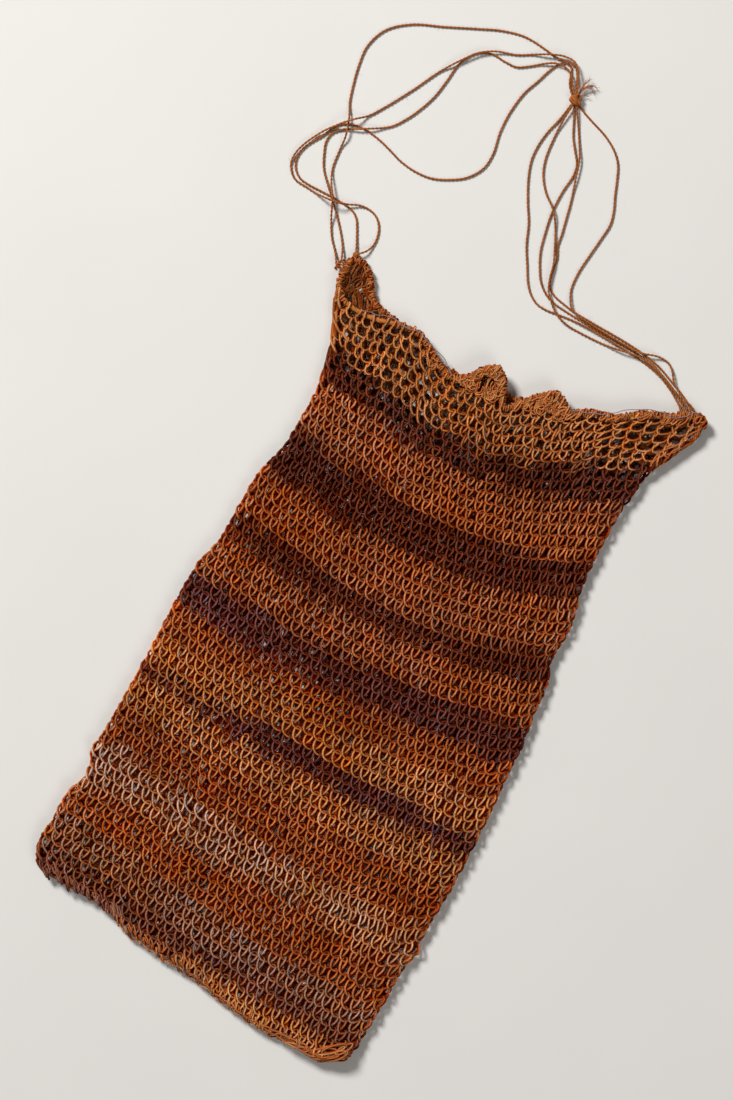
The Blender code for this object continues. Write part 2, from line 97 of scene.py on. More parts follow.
FRONT_MOUTH = [  # x, y, how far the edge gapes or curls up, from left to right
    (-201, 618, 0), (-197.5, 608.5, 0), (-192.3, 600, 0), (-184, 593.5, 0), (-171, 591, 0.8),
    (-152, 592, 1.5), (-129, 598.5, 1.5), (-110, 601, 1.5), (-92, 593.5, 1.5), (-78, 585.5, 1.5),
    (-66, 580.5, 1.5), (-56, 583, 2), (-48, 592, 3.5), (-41, 602.5, 6), (-33, 609, 7),
    (-24, 606, 6.5), (-17, 596, 4), (-13, 587, 2.5), (-9.5, 582.5, 1.5), (-5, 582, 1.5),
    (-0.5, 587, 1.5), (7.5, 597.5, 2), (16.5, 608.5, 3), (26, 615.5, 4), (35, 613, 3), (43, 607.5, 2),
    (55, 612.5, 1.5), (69, 619.5, 1.5), (83, 623, 1.5), (92, 630, 1.5), (103, 639, 1), (115, 644.5, 0.5),
    (129, 650.5, 0), (140, 657, 0), (149, 662, 0), (156, 661.5, 0), (162, 655, 0),
]
BACK_MOUTH = [  # x, y, 0, from left to right
    (-201, 618, 0), (-198.5, 627, 0), (-193.5, 631.5, 0), (-185.5, 630.5, 0), (-177, 625.5, 0),
    (-170, 617, 0), (-162, 608, 0), (-153, 603, 0), (-138, 601, 0), (-110, 598, 0), (-88, 588, 0),
    (-66, 585.5, 0), (-45, 588, 0), (-20, 590, 0), (0, 594, 0), (20, 604, 0), (45, 606, 0),
    (70, 614, 0), (95, 626, 0), (115, 639, 0), (129, 646, 0), (141, 653.5, 0), (149, 659, 0),
    (156, 660, 0), (162, 655, 0),
]

NET_MOUTH = [  # x, y: where the rounds of the front end under the mouth's curls, from left to right
    (-201, 607), (-197.5, 603), (-192.3, 598), (-184, 593.5), (-171, 591), (-152, 592), (-129, 598.5),
    (-110, 600), (-92, 593.5), (-78, 585.5), (-66, 580.5), (-52, 583), (-38, 587), (-24, 586.5), (-13, 584),
    (-4, 584.5), (6, 590), (18, 597.5), (32, 601.5), (45, 605), (57, 611), (69, 618), (83, 623), (92, 630),
    (103, 639), (115, 644.5), (129, 650.5), (140, 657), (149, 662), (156, 661.5), (162, 655),
]

# The looping. Each round has one loop for each stitch, and hangs on the round above it.
STITCHES = 35  # across one layer of the pouch
ROUNDS = 58  # from the closed bottom to the mouth
UNEVEN = (0.07, 0.35)  # how much wider the stitches are than usual, as a share, and where they are widest
NET_LOW = 2.45  # height of the back layer's middle
NET_HIGH = 10.7  # height of the front layer's middle
FIRST_ROUND = 0.3  # how far the lowest round lies from the bottom edge, in rounds
ROUND_GUIDE = [  # share of the width, y: where the top round would lie if the mouth's edge were even
    (0.05, 608), (0.5, 596), (0.95, 647),
]
GUIDE_ENDS = 0.7  # the share of the length above which the rounds begin to follow the mouth's real edge
LOOP = [  # across in stitches, up in rounds, out of the fabric in string diameters
    (0.00, -0.01, -0.20), (0.22, 0.03, -0.42), (0.47, 0.17, -0.50), (0.66, 0.42, -0.15),
    (0.75, 0.70, 0.50), (0.78, 0.95, 0.25), (0.74, 1.18, -0.70), (0.50, 1.27, -1.10),
    (0.27, 1.16, -0.95), (0.21, 0.93, -0.05), (0.23, 0.70, 0.55), (0.30, 0.44, 0.65),
    (0.48, 0.18, 0.40), (0.76, 0.01, -0.05),
]
OPEN_LOOP = [  # the same for the rounder loops near the mouth
    (0.00, -0.03, 0.25), (0.22, 0.02, 0.10), (0.40, 0.16, -0.20), (0.48, 0.42, -0.40),
    (0.56, 0.74, 0.10), (0.62, 1.00, 0.50), (0.60, 1.16, 0.10), (0.50, 1.24, -0.50),
    (0.38, 1.14, -0.60), (0.36, 0.92, -0.35), (0.42, 0.66, 0.25), (0.50, 0.42, 0.45),
    (0.60, 0.18, 0.50), (0.80, 0.02, 0.40),
]
OPEN_FROM = (48.0, 52.5)  # from round to round, where the loops turn into open ones
LOOP_SPREAD = (0.035, 0.12, 0.05, 0.07)  # how uneven a loop's place, width, height and lean are
MOUTH_UNEVEN = 1.1  # how much more uneven they are there, as a share
LAST_EVEN = 0.2  # what is left of the uneven heights in the last two rounds
KEPT_CLOSE = (-62.0, -35.0, 62.0, 95.0)  # from x to x, where they begin and cease to stay close ones
UPRIGHT = 0.7  # how far a loop stays upright where the columns lean

# The dyes of the string from the bottom up: name, and the upper edge of the band at the left, the middle
# and the right of the pouch
BANDS = [
    ("light_ochre", -30, 1, -2), ("mauve_brown", 27, 20, 14), ("mauve_tan", 62, 52, 41),
    ("rust", 90, 93, 88), ("pale_tan", 133.5, 126, 130), ("orange", 173, 169, 169),
    ("light_ochre", 206, 199.5, 206), ("plum_brown", 218.5, 222.5, 227), ("light_ochre", 250, 257, 263),
    ("orange", 279, 280, 301), ("plum_brown", 311, 316, 337.5), ("ochre", 356, 350, 377.5),
    ("red_brown", 380, 374, 403.5), ("ochre", 427, 423.5, 463), ("dark_brown", 475, 465.5, 494),
    ("ochre", 526, 514.5, 554), ("dark_brown", 556, 541.5, 599), ("gold_ochre", 800, 800, 800),
]
BAND_BLEND = 4.5  # how far above and below its edge a band's dye fades into the next one's
BAND_AT = (0.05, 0.5, 0.95)  # the shares of the width at which those three edges are given
BAND_DRIFT = (2.5, 2.0)  # how far a band's edge strays in waves round the pouch, and from loop to loop
SEEN_AT = 0.57  # how far up a loop the middle of its visible part lies, in rounds

# How far a dye varies: how light it is, and how much of that its green and its blue take besides
PATCH_HUE = (0.05, 0.05, 0.16)  # in patches over the pouch
LOOP_HUE = (0.13, 0.08, 0.22)  # from loop to loop
STRING_HUE = (0.14, 0.08, 0.20)  # along the string

# The handle strings, each in the order in which it is laid down: how far it rises from the surface to
# the mouth's corner, and its route from above, x and y from the corner to the knot
STRINGS = {
    "string_left_4": (1.4, [
        (-196.5, 638), (-200, 645.5), (-204, 653), (-208.5, 661), (-213, 667.5), (-219, 671.5),
        (-227, 673), (-240, 673.5), (-254, 673), (-267, 672.5), (-276, 673.5), (-283, 678),
        (-287.5, 685), (-288.5, 693), (-286.5, 702), (-282.5, 710), (-278, 717.5), (-274.5, 726),
        (-268.5, 735.5), (-258, 741), (-246.5, 742.5), (-232, 741), (-218, 737.5), (-204, 733.5),
        (-188, 732), (-172, 734), (-157, 741), (-143.5, 751), (-134.5, 766), (-133.5, 782),
        (-138, 803), (-139, 823.5), (-136.5, 845), (-131, 861), (-127, 874), (-122, 884),
        (-116.5, 888), (-110.5, 886.5), (-107.5, 880), (-104.5, 873), (-93, 861),
    ]),
    "string_left_3": (3.6, [
        (-204.5, 625), (-210.5, 638), (-218, 648), (-227, 658), (-239, 670), (-251, 681),
        (-262, 692.5), (-269, 705.5), (-272.5, 715), (-271.5, 724), (-264, 732.5), (-250, 741),
        (-236, 750), (-226.5, 758), (-218, 771), (-212, 784), (-206.5, 801), (-204, 819),
        (-202, 838), (-194, 853.5), (-181, 861), (-166.5, 861), (-155, 862), (-145, 868.5),
        (-134, 877.5), (-124.5, 883), (-115.5, 884), (-107.5, 880.5), (-101.5, 873), (-93, 862),
    ]),
    "string_left_1": (4.2, [
        (-205.3, 618), (-213.5, 630), (-224, 641.5), (-233.5, 657), (-241, 672.5), (-249.5, 685),
        (-255, 697), (-257.5, 713), (-259.5, 729.5), (-265, 744.5), (-272, 758), (-277, 773),
        (-281.5, 791), (-283.5, 810), (-276.5, 831), (-258, 848), (-231, 861), (-203, 875),
        (-184, 884), (-163, 890), (-140, 889.5), (-128, 888), (-117, 889.5), (-108.5, 889.5),
        (-103, 884), (-99, 875.5), (-92, 862),
    ]),
    "string_left_2": (1.4, [
        (-196, 638.5), (-189.5, 646), (-186.8, 655), (-188, 664), (-192, 672.5), (-199, 678.5),
        (-208, 680.5), (-217, 679), (-226, 674.5), (-236, 670.5), (-250, 669), (-266, 669.5),
        (-279.5, 670.5), (-286.5, 675.5), (-291, 683), (-291.5, 692), (-289, 702), (-284.5, 712.5),
        (-279, 722.5), (-270.5, 733.5), (-260.5, 744.5), (-250, 755.5), (-241, 770),
        (-227, 796), (-214, 823), (-201.5, 842.5), (-191, 856), (-178, 865), (-160, 872),
        (-146, 880.5), (-132, 888), (-120, 892.5), (-110, 892), (-103.5, 886), (-98, 876),
        (-91.5, 863),
    ]),
    "string_right_3": (3.8, [
        (141, 664), (137, 668.3), (129, 673), (119.5, 676.7), (110.5, 680.5), (101, 684),
        (92, 687), (78, 688.5), (60, 689), (42, 689), (18, 689.2), (0, 689.5), (-16, 690.8),
        (-26, 694), (-36, 701.5), (-43.5, 712), (-50.5, 725.5), (-55.5, 743), (-59.5, 763),
        (-60.5, 783), (-59.5, 803), (-62, 812.5), (-69, 821.5), (-77, 832), (-84, 845), (-92, 860),
    ]),
    "string_right_5": (3.8, [
        (135.5, 661), (131, 666.3), (122, 672.3), (110.5, 678), (101, 681.5), (88, 684.3),
        (68, 686), (44, 686.6), (22, 686.6), (6, 685.5), (-8, 683.5), (-20, 681.7), (-30, 682.5),
        (-39, 687.5), (-46.5, 695.5), (-54.5, 708), (-64.5, 724), (-73.5, 743.5), (-84, 760),
        (-94, 778.5), (-100, 795), (-101.3, 808), (-100, 824), (-96.5, 839), (-94.5, 852),
        (-93.5, 861),
    ]),
    "string_right_2": (3.8, [
        (144, 665.3), (139.5, 670.2), (129.5, 676), (119.5, 680), (108, 684.5), (96, 688.5),
        (82, 691), (62, 692.6), (40, 692.8), (18, 692.8), (3, 693), (-8, 694.6), (-18, 696.5),
        (-25.5, 700.5), (-29.5, 707), (-32, 717), (-34.5, 728.5), (-39.3, 738), (-41.5, 749),
        (-45.5, 765), (-50, 782), (-56.5, 801), (-61.5, 816), (-68.5, 828.5), (-78, 843),
        (-84.5, 852), (-92, 862),
    ]),
    "string_right_1": (3.8, [
        (146.5, 665.8), (144.4, 669.4), (139.5, 671.6), (133, 673.2), (124, 677.2), (116.5, 682),
        (112.5, 687), (108.5, 692), (103.5, 695.5), (98, 696.5), (91, 695.8), (84, 693.5), (76, 690.8),
        (60, 690), (40, 690.2), (20, 691), (8, 691.8), (0.5, 694.5), (-5, 701.5), (-9, 711),
        (-10.6, 727), (-9.5, 745), (-8, 764), (-7.3, 779), (-10.5, 791), (-17, 805),
        (-22.5, 818), (-29, 831), (-38, 840), (-52, 847.8), (-69, 853.3), (-80, 857), (-92, 862),
    ]),
    "string_right_4": (3.8, [
        (138.5, 662.7), (134, 667.5), (125, 673), (113, 678.3), (101, 682.8), (90, 686),
        (80, 687.2), (70, 686), (56, 683), (40, 680.6), (22, 679.4), (4, 679.4), (-8.5, 682.8),
        (-19, 690.5), (-26.5, 698.5), (-31, 709), (-34.5, 721.5), (-41.4, 736), (-49.7, 751.6),
        (-59.5, 764.3), (-73, 775), (-83, 787), (-89, 801), (-92, 821), (-93, 840), (-92.5, 861),
    ]),
}
HUMP = 19.0  # half the length over which a string rises to pass over another
HUMP_TOP = 3.0  # half the length of its level top
ROUTE_STEP = 1.0  # between the points of a route
ON_FLOOR = 1.2  # height of a string's middle where it lies on the surface
APART = 2.91  # between the middles of two strings where they cross
KNOT_CENTRE = (-93.0, 862.0, 4.3)
KNOT_SIZE = (11.0, 9.0, 8.4)
KNOT_TURN = -25.0
KNOT_MIDDLE = 1.15  # half the height through which the knot is at its widest
KNOT_LEAST = 0.12  # the least square of its width further up and down, as a share
KNOT_MARGIN = 0.5  # how far outside it a string's middle counts as in it
INTO_KNOT = (0.3, 0.6)  # the last two points of a string, as shares of the way to the knot's centre
LUMPS = [  # piece, node, middle, size, turn, and each wrap's tilts and share of the size
    ("knot_turns", "handle_knot", KNOT_CENTRE, KNOT_SIZE, KNOT_TURN, [
        (0, 0, 0.9), (35, 10, 1), (-38, 15, 1), (80, 25, 1), (100, -30, 0.97), (60, -55, 1),
        (90, 80, 0.95), (25, 70, 0.9),
    ]),
    ("bead_turns", "corner_bead", (-196.5, 638.2, 3.3), (6.2, 5.8, 6.0), 20, [
        (0, 10, 1), (60, 20, 1), (-60, 0, 1), (90, 60, 1), (90, 0, 0.9),
    ]),
]
COILS = [  # piece, node, between two turns, dye, how far the crest is paler as wear and painted highlight, and the points of each coil's middle line
    ("left_coil", "binding_left", 2.3, "handle", 0.0, [
        (-205.7, 616.5, 8.2), (-205.4, 622.0, 6.8), (-204.2, 628.5, 5.0),
    ]),
    ("right_coil", "binding_right", 1.6, "orange", 1.0, [
        (132.3, 659.1, 7.3), (140.4, 663.9, 7.4), (148.1, 666.2, 7.5),
    ]),
]
COIL_POINTS = 12  # along each turn of a coil
COIL_WIDE = (1.3, 0.3)  # a coil's radius, and how far it strays from that
COIL_STRING = 0.75  # radius of the string in a coil
TIE_STRING = 0.7  # and in a tie
RING_STEP = 1.2  # about how far apart the points of a turn lie, for its dye
TIES = [  # middle, size, turn, tilt and roll in degrees: turns that tie the left strings' ends onto the rim
    ((-201.0, 622.5, 8.3), (12.0, 4.6, 7.0), -24, 0, 8),
    ((-200.6, 621.0, 8.6), (12.5, 4.0, 7.4), -12, 20, -6),
    ((-199.6, 625.0, 8.2), (11.0, 4.2, 7.0), -38, -15, 4),
]
BIGHTS = [  # middle, size, turn, tilt and roll in degrees: turns of string beside the knot's lump
    ((-88.6, 861.4, 4.6), (6.8, 5.4, 6.6), -25, 70, 20),
    ((-95.6, 860.0, 4.6), (6.0, 5.4, 6.2), -25, 80, -8),
    ((-90.5, 865.5, 4.8), (7.0, 5.0, 6.4), -40, 35, 10),
]
WISPS = [  # fibres, how far they spread at the tip, and the middle line of each frayed end
    (18, 1.6, [
        (-93, 866.5, 4.5), (-92, 872.5, 5.2), (-90, 877, 5.6), (-87, 880, 5.2), (-83.5, 879.5, 4.4),
        (-80, 876.5, 3.4),
    ]),
    (10, 1.8, [(-92.5, 871, 5.0), (-92.8, 877.5, 5.4), (-92, 883, 4.6), (-91.2, 888.5, 3.4)]),
    (5, 1.3, [(-88, 880, 5.2), (-83.5, 882.3, 4.6), (-79.5, 883, 3.6)]),
    (6, 1.2, [(-91, 867.5, 4.6), (-88.5, 870.3, 4.8), (-85.5, 872, 4.2), (-82.5, 871.5, 3.0)]),
]

# The mouth: the last round's loops pass over the foundation cord
RIM_OUT = 0.27  # how far outside the fabric's edge the cord's middle lies, in rounds
MOUTH_RAISED = 2.1  # how much higher the back lies at the mouth, where the cord is under it
LAST_LOOP = [  # across in stitches, up in rounds, out of the fabric in string diameters
    (0.00, -0.03, 0.25), (0.22, 0.02, 0.10), (0.41, 0.18, -0.20), (0.50, 0.42, 0.10),
    (0.58, 0.70, 1.00), (0.58, 0.98, 1.48), (0.55, 1.22, 1.00), (0.50, 1.30, 0.00),
    (0.44, 1.22, -1.00), (0.40, 0.98, -1.48), (0.40, 0.70, -1.00), (0.48, 0.46, 0.25),
    (0.59, 0.20, 0.50), (0.78, 0.02, 0.40),
]
WRAPS = [  # from stitch to stitch, between two turns, thickness, how far out of the cord's middle, dye
    (6.8, 24.0, 4.3, 1.7, 2.6, "orange"),
    (6.8, 24.0, -7.3, 1.6, 2.9, "ochre"),
    (8.0, 24.0, 11.0, 1.7, 2.8, "rust"),
    (23.0, 35.4, 4.3, 1.7, 3.1, "orange"),
    (23.0, 35.4, -7.3, 1.6, 3.5, "ochre"),
    (24.0, 35.4, 11.0, 1.7, 3.3, "rust"),
    (25.0, 35.2, 15.0, 1.6, 3.8, "ochre"),
    (35.5, 63.7, 5.1, 1.8, 2.5, "ochre"),
    (35.5, 63.7, -8.1, 1.6, 2.8, "orange"),
    (63.4, 70.0, 3.4, 1.7, 2.5, "rust"),
    (63.4, 70.0, -5.2, 1.6, 2.9, "orange"),
    (63.4, 70.0, 9.0, 1.8, 3.1, "ochre"),
    (64.0, 69.4, 14.0, 1.6, 3.4, "orange"),
    (0.0, 1.6, 3.9, 1.7, 2.4, "gold_ochre"),
    (0.0, 1.6, -6.5, 1.6, 2.7, "ochre"),
]
RUFFLES = [  # from stitch to stitch, loops for each stitch, reach down, how far out of the fabric
    (12.6, 24.4, 0.8, 9.0, 1.6), (24.4, 34.9, 1.7, 11.0, 1.9),
]
LIPS = [  # the curls of the mouth: x, y, half the width and height, loose loops, their size, how far out
    # The two that lie under the curls are painted dark, as the shade behind them.
    (-35, 597, 12, 9, 40, 4.2, -3.6), (24, 604, 16, 7, 44, 4.2, -3.2),
    (-48, 591, 8, 8, 26, 3.1, 2.0), (-35, 605.5, 10, 2.5, 30, 2.6, 2.2), (-23, 594, 6, 9, 28, 3.1, 2.0),
    (-37, 587, 15, 3, 17, 3.5, 1.8), (22, 608, 12, 6, 44, 3.0, 2.2), (37, 606, 9, 5, 24, 2.9, 2.0),
    (14, 598, 11, 5, 20, 3.4, 1.8), (-84, 587, 9, 3, 8, 3.1, 1.8),
]
CURL_HOLES = [(-30, 601, 6.5, 3.6), (-37, 594.5, 5.0, 4.5)]  # left open there: x, y, half width and height
GATHERS = [  # strands drawn tight into the corners: from and to stitch, how many, reach down, how far out
    (63.4, 69.8, 22, 34.0, -1.2), (34.0, 35.6, 6, 62.0, 0.9),
]
WRAP_STEP = 0.6  # between the points of the line that a wrap turns round
WRAP_SHADE_TINT = (0.6, 0.45, 0.35)  # painted shade: what is left of a wrap's dye on its side towards the cord
LOOSE_THICK = 0.85  # the loose loops' string next to the net's
CURL_THICK = 0.78  # and that in the curls next to the loose loops'
UNDER_CURL_SHADE = 0.25  # painted shade: what is left of the dye of the loops that lie inside a curl
GATHER_POINTS = 22  # along each strand of a gather
CORD_DARKENS = (-135.0, -105.0)  # from x to x, where the mouth cord turns darker, away from the mouth's left corner
CORD_DARKER = 0.35  # how much darker, as a share
LACED = [(3.0, 13.1), (24.3, 34.0)]  # from stitch to stitch, where the thin thread is laced round the mouth
MOUTH_SAMPLES = 1441  # points along the mouth, before a line is spaced evenly
WRAP_SAMPLES = 1200  # the same for a wrap
LACE_SAMPLES = 900  # and for a stretch of the laced thread
LACE_WIDE = 4.6  # how far from the foundation cord's middle it passes over it
ROUND_HEIGHTS = [  # round, relative height: where the loops are taller or shorter
    (0, 0.62), (1, 0.70), (2, 0.96), (3, 1.02), (8, 1.0), (10, 1.10), (12.5, 1.10), (14, 1.0),
    (50, 1.0), (52, 0.95), (58, 0.95),
]
CLOSING_STRANDS = [  # from stitch to stitch, rounds up, out of the fabric, how wavy in rounds, thickness, dye
    (9.4, 34.9, 0.12, 1.3, 0.22, 1.9, "pale_tan"), (17.0, 34.6, 0.50, 1.3, 0.16, 2.0, "ochre"),
    (25.5, 34.8, 0.75, 2.0, 0.12, 2.0, "orange"),
]
CLOSING_STITCHES = [  # from stitch to stitch, how many for each stitch, from and to which round up, dyes
    (0.8, 10.0, 2.2, 0.10, 1.0, ("mauve_tan", "mauve_brown", "plum_brown")),
    (0.8, 10.0, 1.6, 0.70, 1.7, ("mauve_brown", "mauve_brown", "plum_brown")),
    (8.0, 34.6, 1.7, 0.00, 0.9, ("light_ochre", "orange", "mauve_tan")),
    (8.0, 33.0, 1.5, 0.45, 1.4, ("orange", "orange", "mauve_brown")),
]
BUNCHED = [  # loops at the bottom's right end: x, y, half the length and width, turn in degrees, dye
    (140, -14, 17, 3.6, 38, "orange"), (147, -7, 15, 3.2, 40, "light_ochre"),
    (133, -17, 16, 3.8, 22, "ochre"), (151, -3, 12, 3.0, 46, "orange"),
    (124, -19.5, 15, 3.0, 8, "light_ochre"), (156, -8, 11, 3.4, 50, "orange"),
    (146, -14, 14, 2.6, 35, "rust"), (112, -17.5, 14, 2.8, 2, "orange"), (159, 1, 9, 2.6, 60, "ochre"),
]
BUNCH_ACROSS = (-180.0, 352.0)  # x of the pouch's left side there, and its width
BUNCH_RISES = (-24.0, 14.0)  # y where those loops begin to rise, and how much further in they have risen
BUNCH_HIGH = (12.0, 3.4)  # how high they lie there, and how much higher they rise
LOW_SHADE_TINT = (0.60, 0.30, 0.12)  # painted shade: what is left of the dye's red, green and blue where a string lies low
LOW_FROM = (0.2, -0.5)  # how far out of the fabric it begins to count as low, and where it wholly does
INNER_SHADE_TINT = (0.72, 0.24, 0.04)  # and the painted shade on the string's side towards the inside of the pouch and that painted shade there where the mouth lets the light in
OPEN_SHADE_TINT = (0.60, 1.30, 3.5)  # and there where the mouth lets the light in
WEAR_AND_HIGHLIGHT_TINT = (1.32, 4.1, 17.0)  # how the dye is paler on the crest of the string: partly wear, partly a painted highlight how narrow that crest and its painted highlight are
CREST_SHARP = 8.0  # how narrow that crest is
FIBRE_STRETCH = 0.12  # for each mm along the string: how far on in the fibres' noise that is
BACK_SLIP = -2.5  # how far the back has slipped up under the front, away from the sides
BACK_THICKER = (1.16, 1.26)  # how much thicker the back's string is than the front's, below and at the mouth
BACK_PRESSED = (1.20, 1.05)  # how much wider than round it lies, below and at the mouth
TURNED = 0.375  # how far the stitches begin past the left side, so that the back's lie between the front's
GATHERED = 0.45  # how much closer the back's stitches lie at the mouth's left corner, as a share
GATHER_WIDE = 0.08  # the share of the width over which that fades
GATHER_FROM = 0.84  # the share of the length above which it begins
DROP_WIDE = 0.06  # the share of the width by which the back's rounds have risen to the mouth's own edge
SLIP_SIDES = (2.0, 30.0)  # from this far to this far off the sides, the back's slip begins
SLIP_ENDS = (0.02, 0.96)  # the shares of the length between which it is whole
FRONT_POINTS = 16  # along the string, for each stitch of the front
BACK_POINTS = 10  # and of the back
CONTROL_STEPS = 4  # in which the smooth line goes from one of a loop's points to the next
CONTROL_GAP = 0.65  # about how far apart those steps lie
TOUCH = 0.02  # how far a string that rests on the surface stays off it
THICKNESS_STRAYS = 0.07  # how uneven the net string's thickness is, as a share
NET_PIECES = [  # piece, 0 for the front or 1 for the back, from round to round, sides of the string
    ("net_front_lower", 0, 0, 20, 6), ("net_front_middle", 0, 20, 39, 6), ("net_front_upper", 0, 39, 58, 6),
    ("net_back_lower", 1, 0, 29, 5), ("net_back_upper", 1, 29, 58, 5),
]
TURN_STEPS = 8  # in which a handle string's plies turn once
PLY_OFF = 0.21  # from the handle string's middle to a ply's, as a share of its thickness
PLY_THICK = 0.29  # a ply's radius, as such a share: the two press into each other
RIM_PLIES = (0.0, math.tau / 3, -math.tau / 3)  # where the mouth cord's three plies start round it
RIM_PLY_OFF = 0.2  # the same two shares for the mouth cord's plies
RIM_PLY_THICK = 0.3
RIM_STEPS = 14  # in which they turn once
TINT_WAVES = (9, 31, 90)  # how long the uneven lengths of a dye are
MOUTH_FIBRES = 0.25  # the share of the net's loose fibres that stand out near the mouth
FUZZ_TINT = (0.72, 0.6, 0.42)  # what the loose fibres keep of the frayed ends' colour
HAIR_BENDS = 0.35  # how far a loose fibre bends aside at its tip, as a share of its length
HAIR_DROOPS = 0.25  # and how far it droops
BACK_CHANGES = (ROUNDS - 12, ROUNDS - 6)  # between these rounds the back's string turns to that of the mouth
OPEN_BACK = ROUNDS - 8  # the round from which the light comes in at the mouth
CAMERA_HEIGHT = 2.817
CAMERA_OVER = (-0.0357, 0.0846)  # the point of the floor in the middle of the picture, in metres
CAMERA_TURN = 30  # in degrees, as the bag is turned in the photo
AIM = (-0.03, 0.08, 0.0)  # the place that the lights point at, in metres
FLOOR_REACH = 6.0  # half the floor's side, in metres
LIGHTS = [  # name, place in metres, size in metres, power in watts
    ("key_from_upper_left", (-3.6, 1.6, 3.6), 1.5, 345),
    ("fill_from_right", (3.2, -1.4, 3.4), 2.8, 60),
]
ROOM_LIGHT = 0.12  # strength of the light from the room all round


def linear(hex_code):
    """An sRGB hex colour as linear red, green and blue."""
    parts = [int(hex_code[i:i + 2], 16) / 255 for i in (1, 3, 5)]
    return tuple(c / 12.92 if c <= 0.04045 else ((c + 0.055) / 1.055) ** 2.4 for c in parts)


def colour(name, description, hex_code):
    """A colour that a user can change."""
    return FloatVectorProperty(
        name=name, description=description, subtype="COLOR", size=3, min=0, max=1, default=linear(hex_code)
    )


def millimetres(name, description, value):
    """A length that a user can change, stored in metres."""
    return FloatProperty(
        name=name, description=description, unit="LENGTH", subtype="DISTANCE", default=value * MM, min=0.0001
    )


class StringBagSizes(bpy.types.PropertyGroup):
    """The sizes of the string and of what is made from it."""

    net_string: millimetres("Net string", "Thickness of the string that the pouch is looped from", 2.4)
    handle_string: millimetres("Handle string", "Thickness of the strings of the handle", 2.3)
    handle_lead: millimetres("Handle lay", "Length in which the handle string's plies turn once", 7.5)
    net_lead: millimetres("Net lay", "Length in which the net string's plies turn once", 6.5)
    rim_cord: millimetres("Mouth cord", "Thickness of the foundation cord inside the last loops", 4.8)
    rim_lead: millimetres("Mouth cord lay", "Length in which the mouth cord's plies turn once", 20.0)
    thread: millimetres("Lacing thread", "Thickness of the thin thread laced along the mouth", 0.75)
    fibre: millimetres("Loose fibre", "Thickness of the loose fibres that stand out of the string", 0.16)
    net_fibres: IntProperty(
        name="Loose fibres on the net", description="How many fibres stand out of it", default=4600, min=0
    )
    unevenness: FloatProperty(
        name="Unevenness", description="How unlike its neighbours each loop is", default=1.0, min=0.0, max=2.0
    )


class StringBagDyes(bpy.types.PropertyGroup):
    """The dyes of the string, as it looks in daylight."""

    ochre: colour("Ochre", "The yellow-brown of most of the pouch", "#A14210")
    gold_ochre: colour("Golden ochre", "The brightest ochre, near the mouth", "#A84A12")
    light_ochre: colour("Light ochre", "The palest ochre, worn and dry", "#B05216")
    orange: colour("Orange", "Red ochre rubbed into the string", "#9F3E0C")
    rust: colour("Rust", "The strongest red ochre", "#A2400D")
    pale_tan: colour("Pale tan", "Almost undyed fibre, slightly pink", "#B36026")
    mauve_tan: colour("Mauve tan", "Undyed fibre with a trace of plum dye", "#944A1C")
    mauve_brown: colour("Mauve brown", "A thin plum and bark dye", "#783412")
    plum_brown: colour("Plum brown", "Plum and bark dye", "#65250D")
    red_brown: colour("Red brown", "Mangrove bark dye", "#642106")
    dark_brown: colour("Dark brown", "Mangrove bark dye, dipped twice", "#5D1E06")
    handle: colour("Handle", "The handle strings, undyed but rubbed with ochre", "#9C5C2E")
    mouth_cord: colour("Mouth cord", "The foundation cord of the mouth", "#B26E36")
    frayed: colour("Frayed ends", "Untwisted fibre ends", "#CFA983")
    thread: colour("Lacing thread", "A thin mauve-grey thread", "#8C7A7C")
    floor: colour("Floor", "Matt pale board under the bag", "#D9D6D1")


def sizes():
    """The sizes as the user has set them, in metres."""
    return bpy.context.scene.string_bag_sizes


def dyes():
    """The dyes as the user has set them."""
    return bpy.context.scene.string_bag_dyes


def place(points):
    """Points of the drawing, in metres in the part's frame."""
    return (np.asarray(points, float) - (ORIGIN[0], ORIGIN[1], 0.0)) * MM


def evenly(points, count, *others):
    """A line again as this many even steps, with anything else that is known at its points."""
    runs = np.linalg.norm(np.diff(points, axis=0), axis=1)
    along = np.concatenate([[0.0], np.cumsum(runs)])
    at = np.linspace(0.0, along[-1], count + 1)
    columns = [np.interp(at, along, column) for column in points.T]
    rest = [np.stack([np.interp(at, along, c) for c in np.atleast_2d(o.T)], -1) for o in others]
    return [np.stack(columns, -1), *rest]


def length_of(points):
    """The length of a line through these points."""
    return float(np.linalg.norm(np.diff(points, axis=0), axis=1).sum())


def spaced(points, step, *others, least=1):
    """A line again in even steps of about this length, with anything else that is known at its points."""
    return evenly(points, max(least, round(length_of(points) / step)), *others)


def smooth(table, step):
    """A smooth line through the points, as points about one step apart."""
    knots = np.array([(*p, 0.0)[:3] for p in table], float)
    knots = np.concatenate([[2 * knots[0] - knots[1]], knots, [2 * knots[-1] - knots[-2]]])
    fine = [knots[1]]
    for a, b, c, d in zip(knots, knots[1:], knots[2:], knots[3:]):
        t1 = math.sqrt(np.linalg.norm(b - a))
        t2 = t1 + math.sqrt(np.linalg.norm(c - b))
        t3 = t2 + math.sqrt(np.linalg.norm(d - c))
        for k in range(1, SMOOTH_STEPS + 1):
            t = t1 + (t2 - t1) * k / SMOOTH_STEPS
            ab = a + (b - a) * t / t1
            bc = b + (c - b) * (t - t1) / (t2 - t1)
            cd = c + (d - c) * (t - t2) / (t3 - t2)
            abc = ab + (bc - ab) * t / t2
            bcd = bc + (cd - bc) * (t - t1) / (t3 - t1)
            fine.append(abc + (bcd - abc) * (t - t1) / (t2 - t1))
    return spaced(np.array(fine), step, least=2)[0]


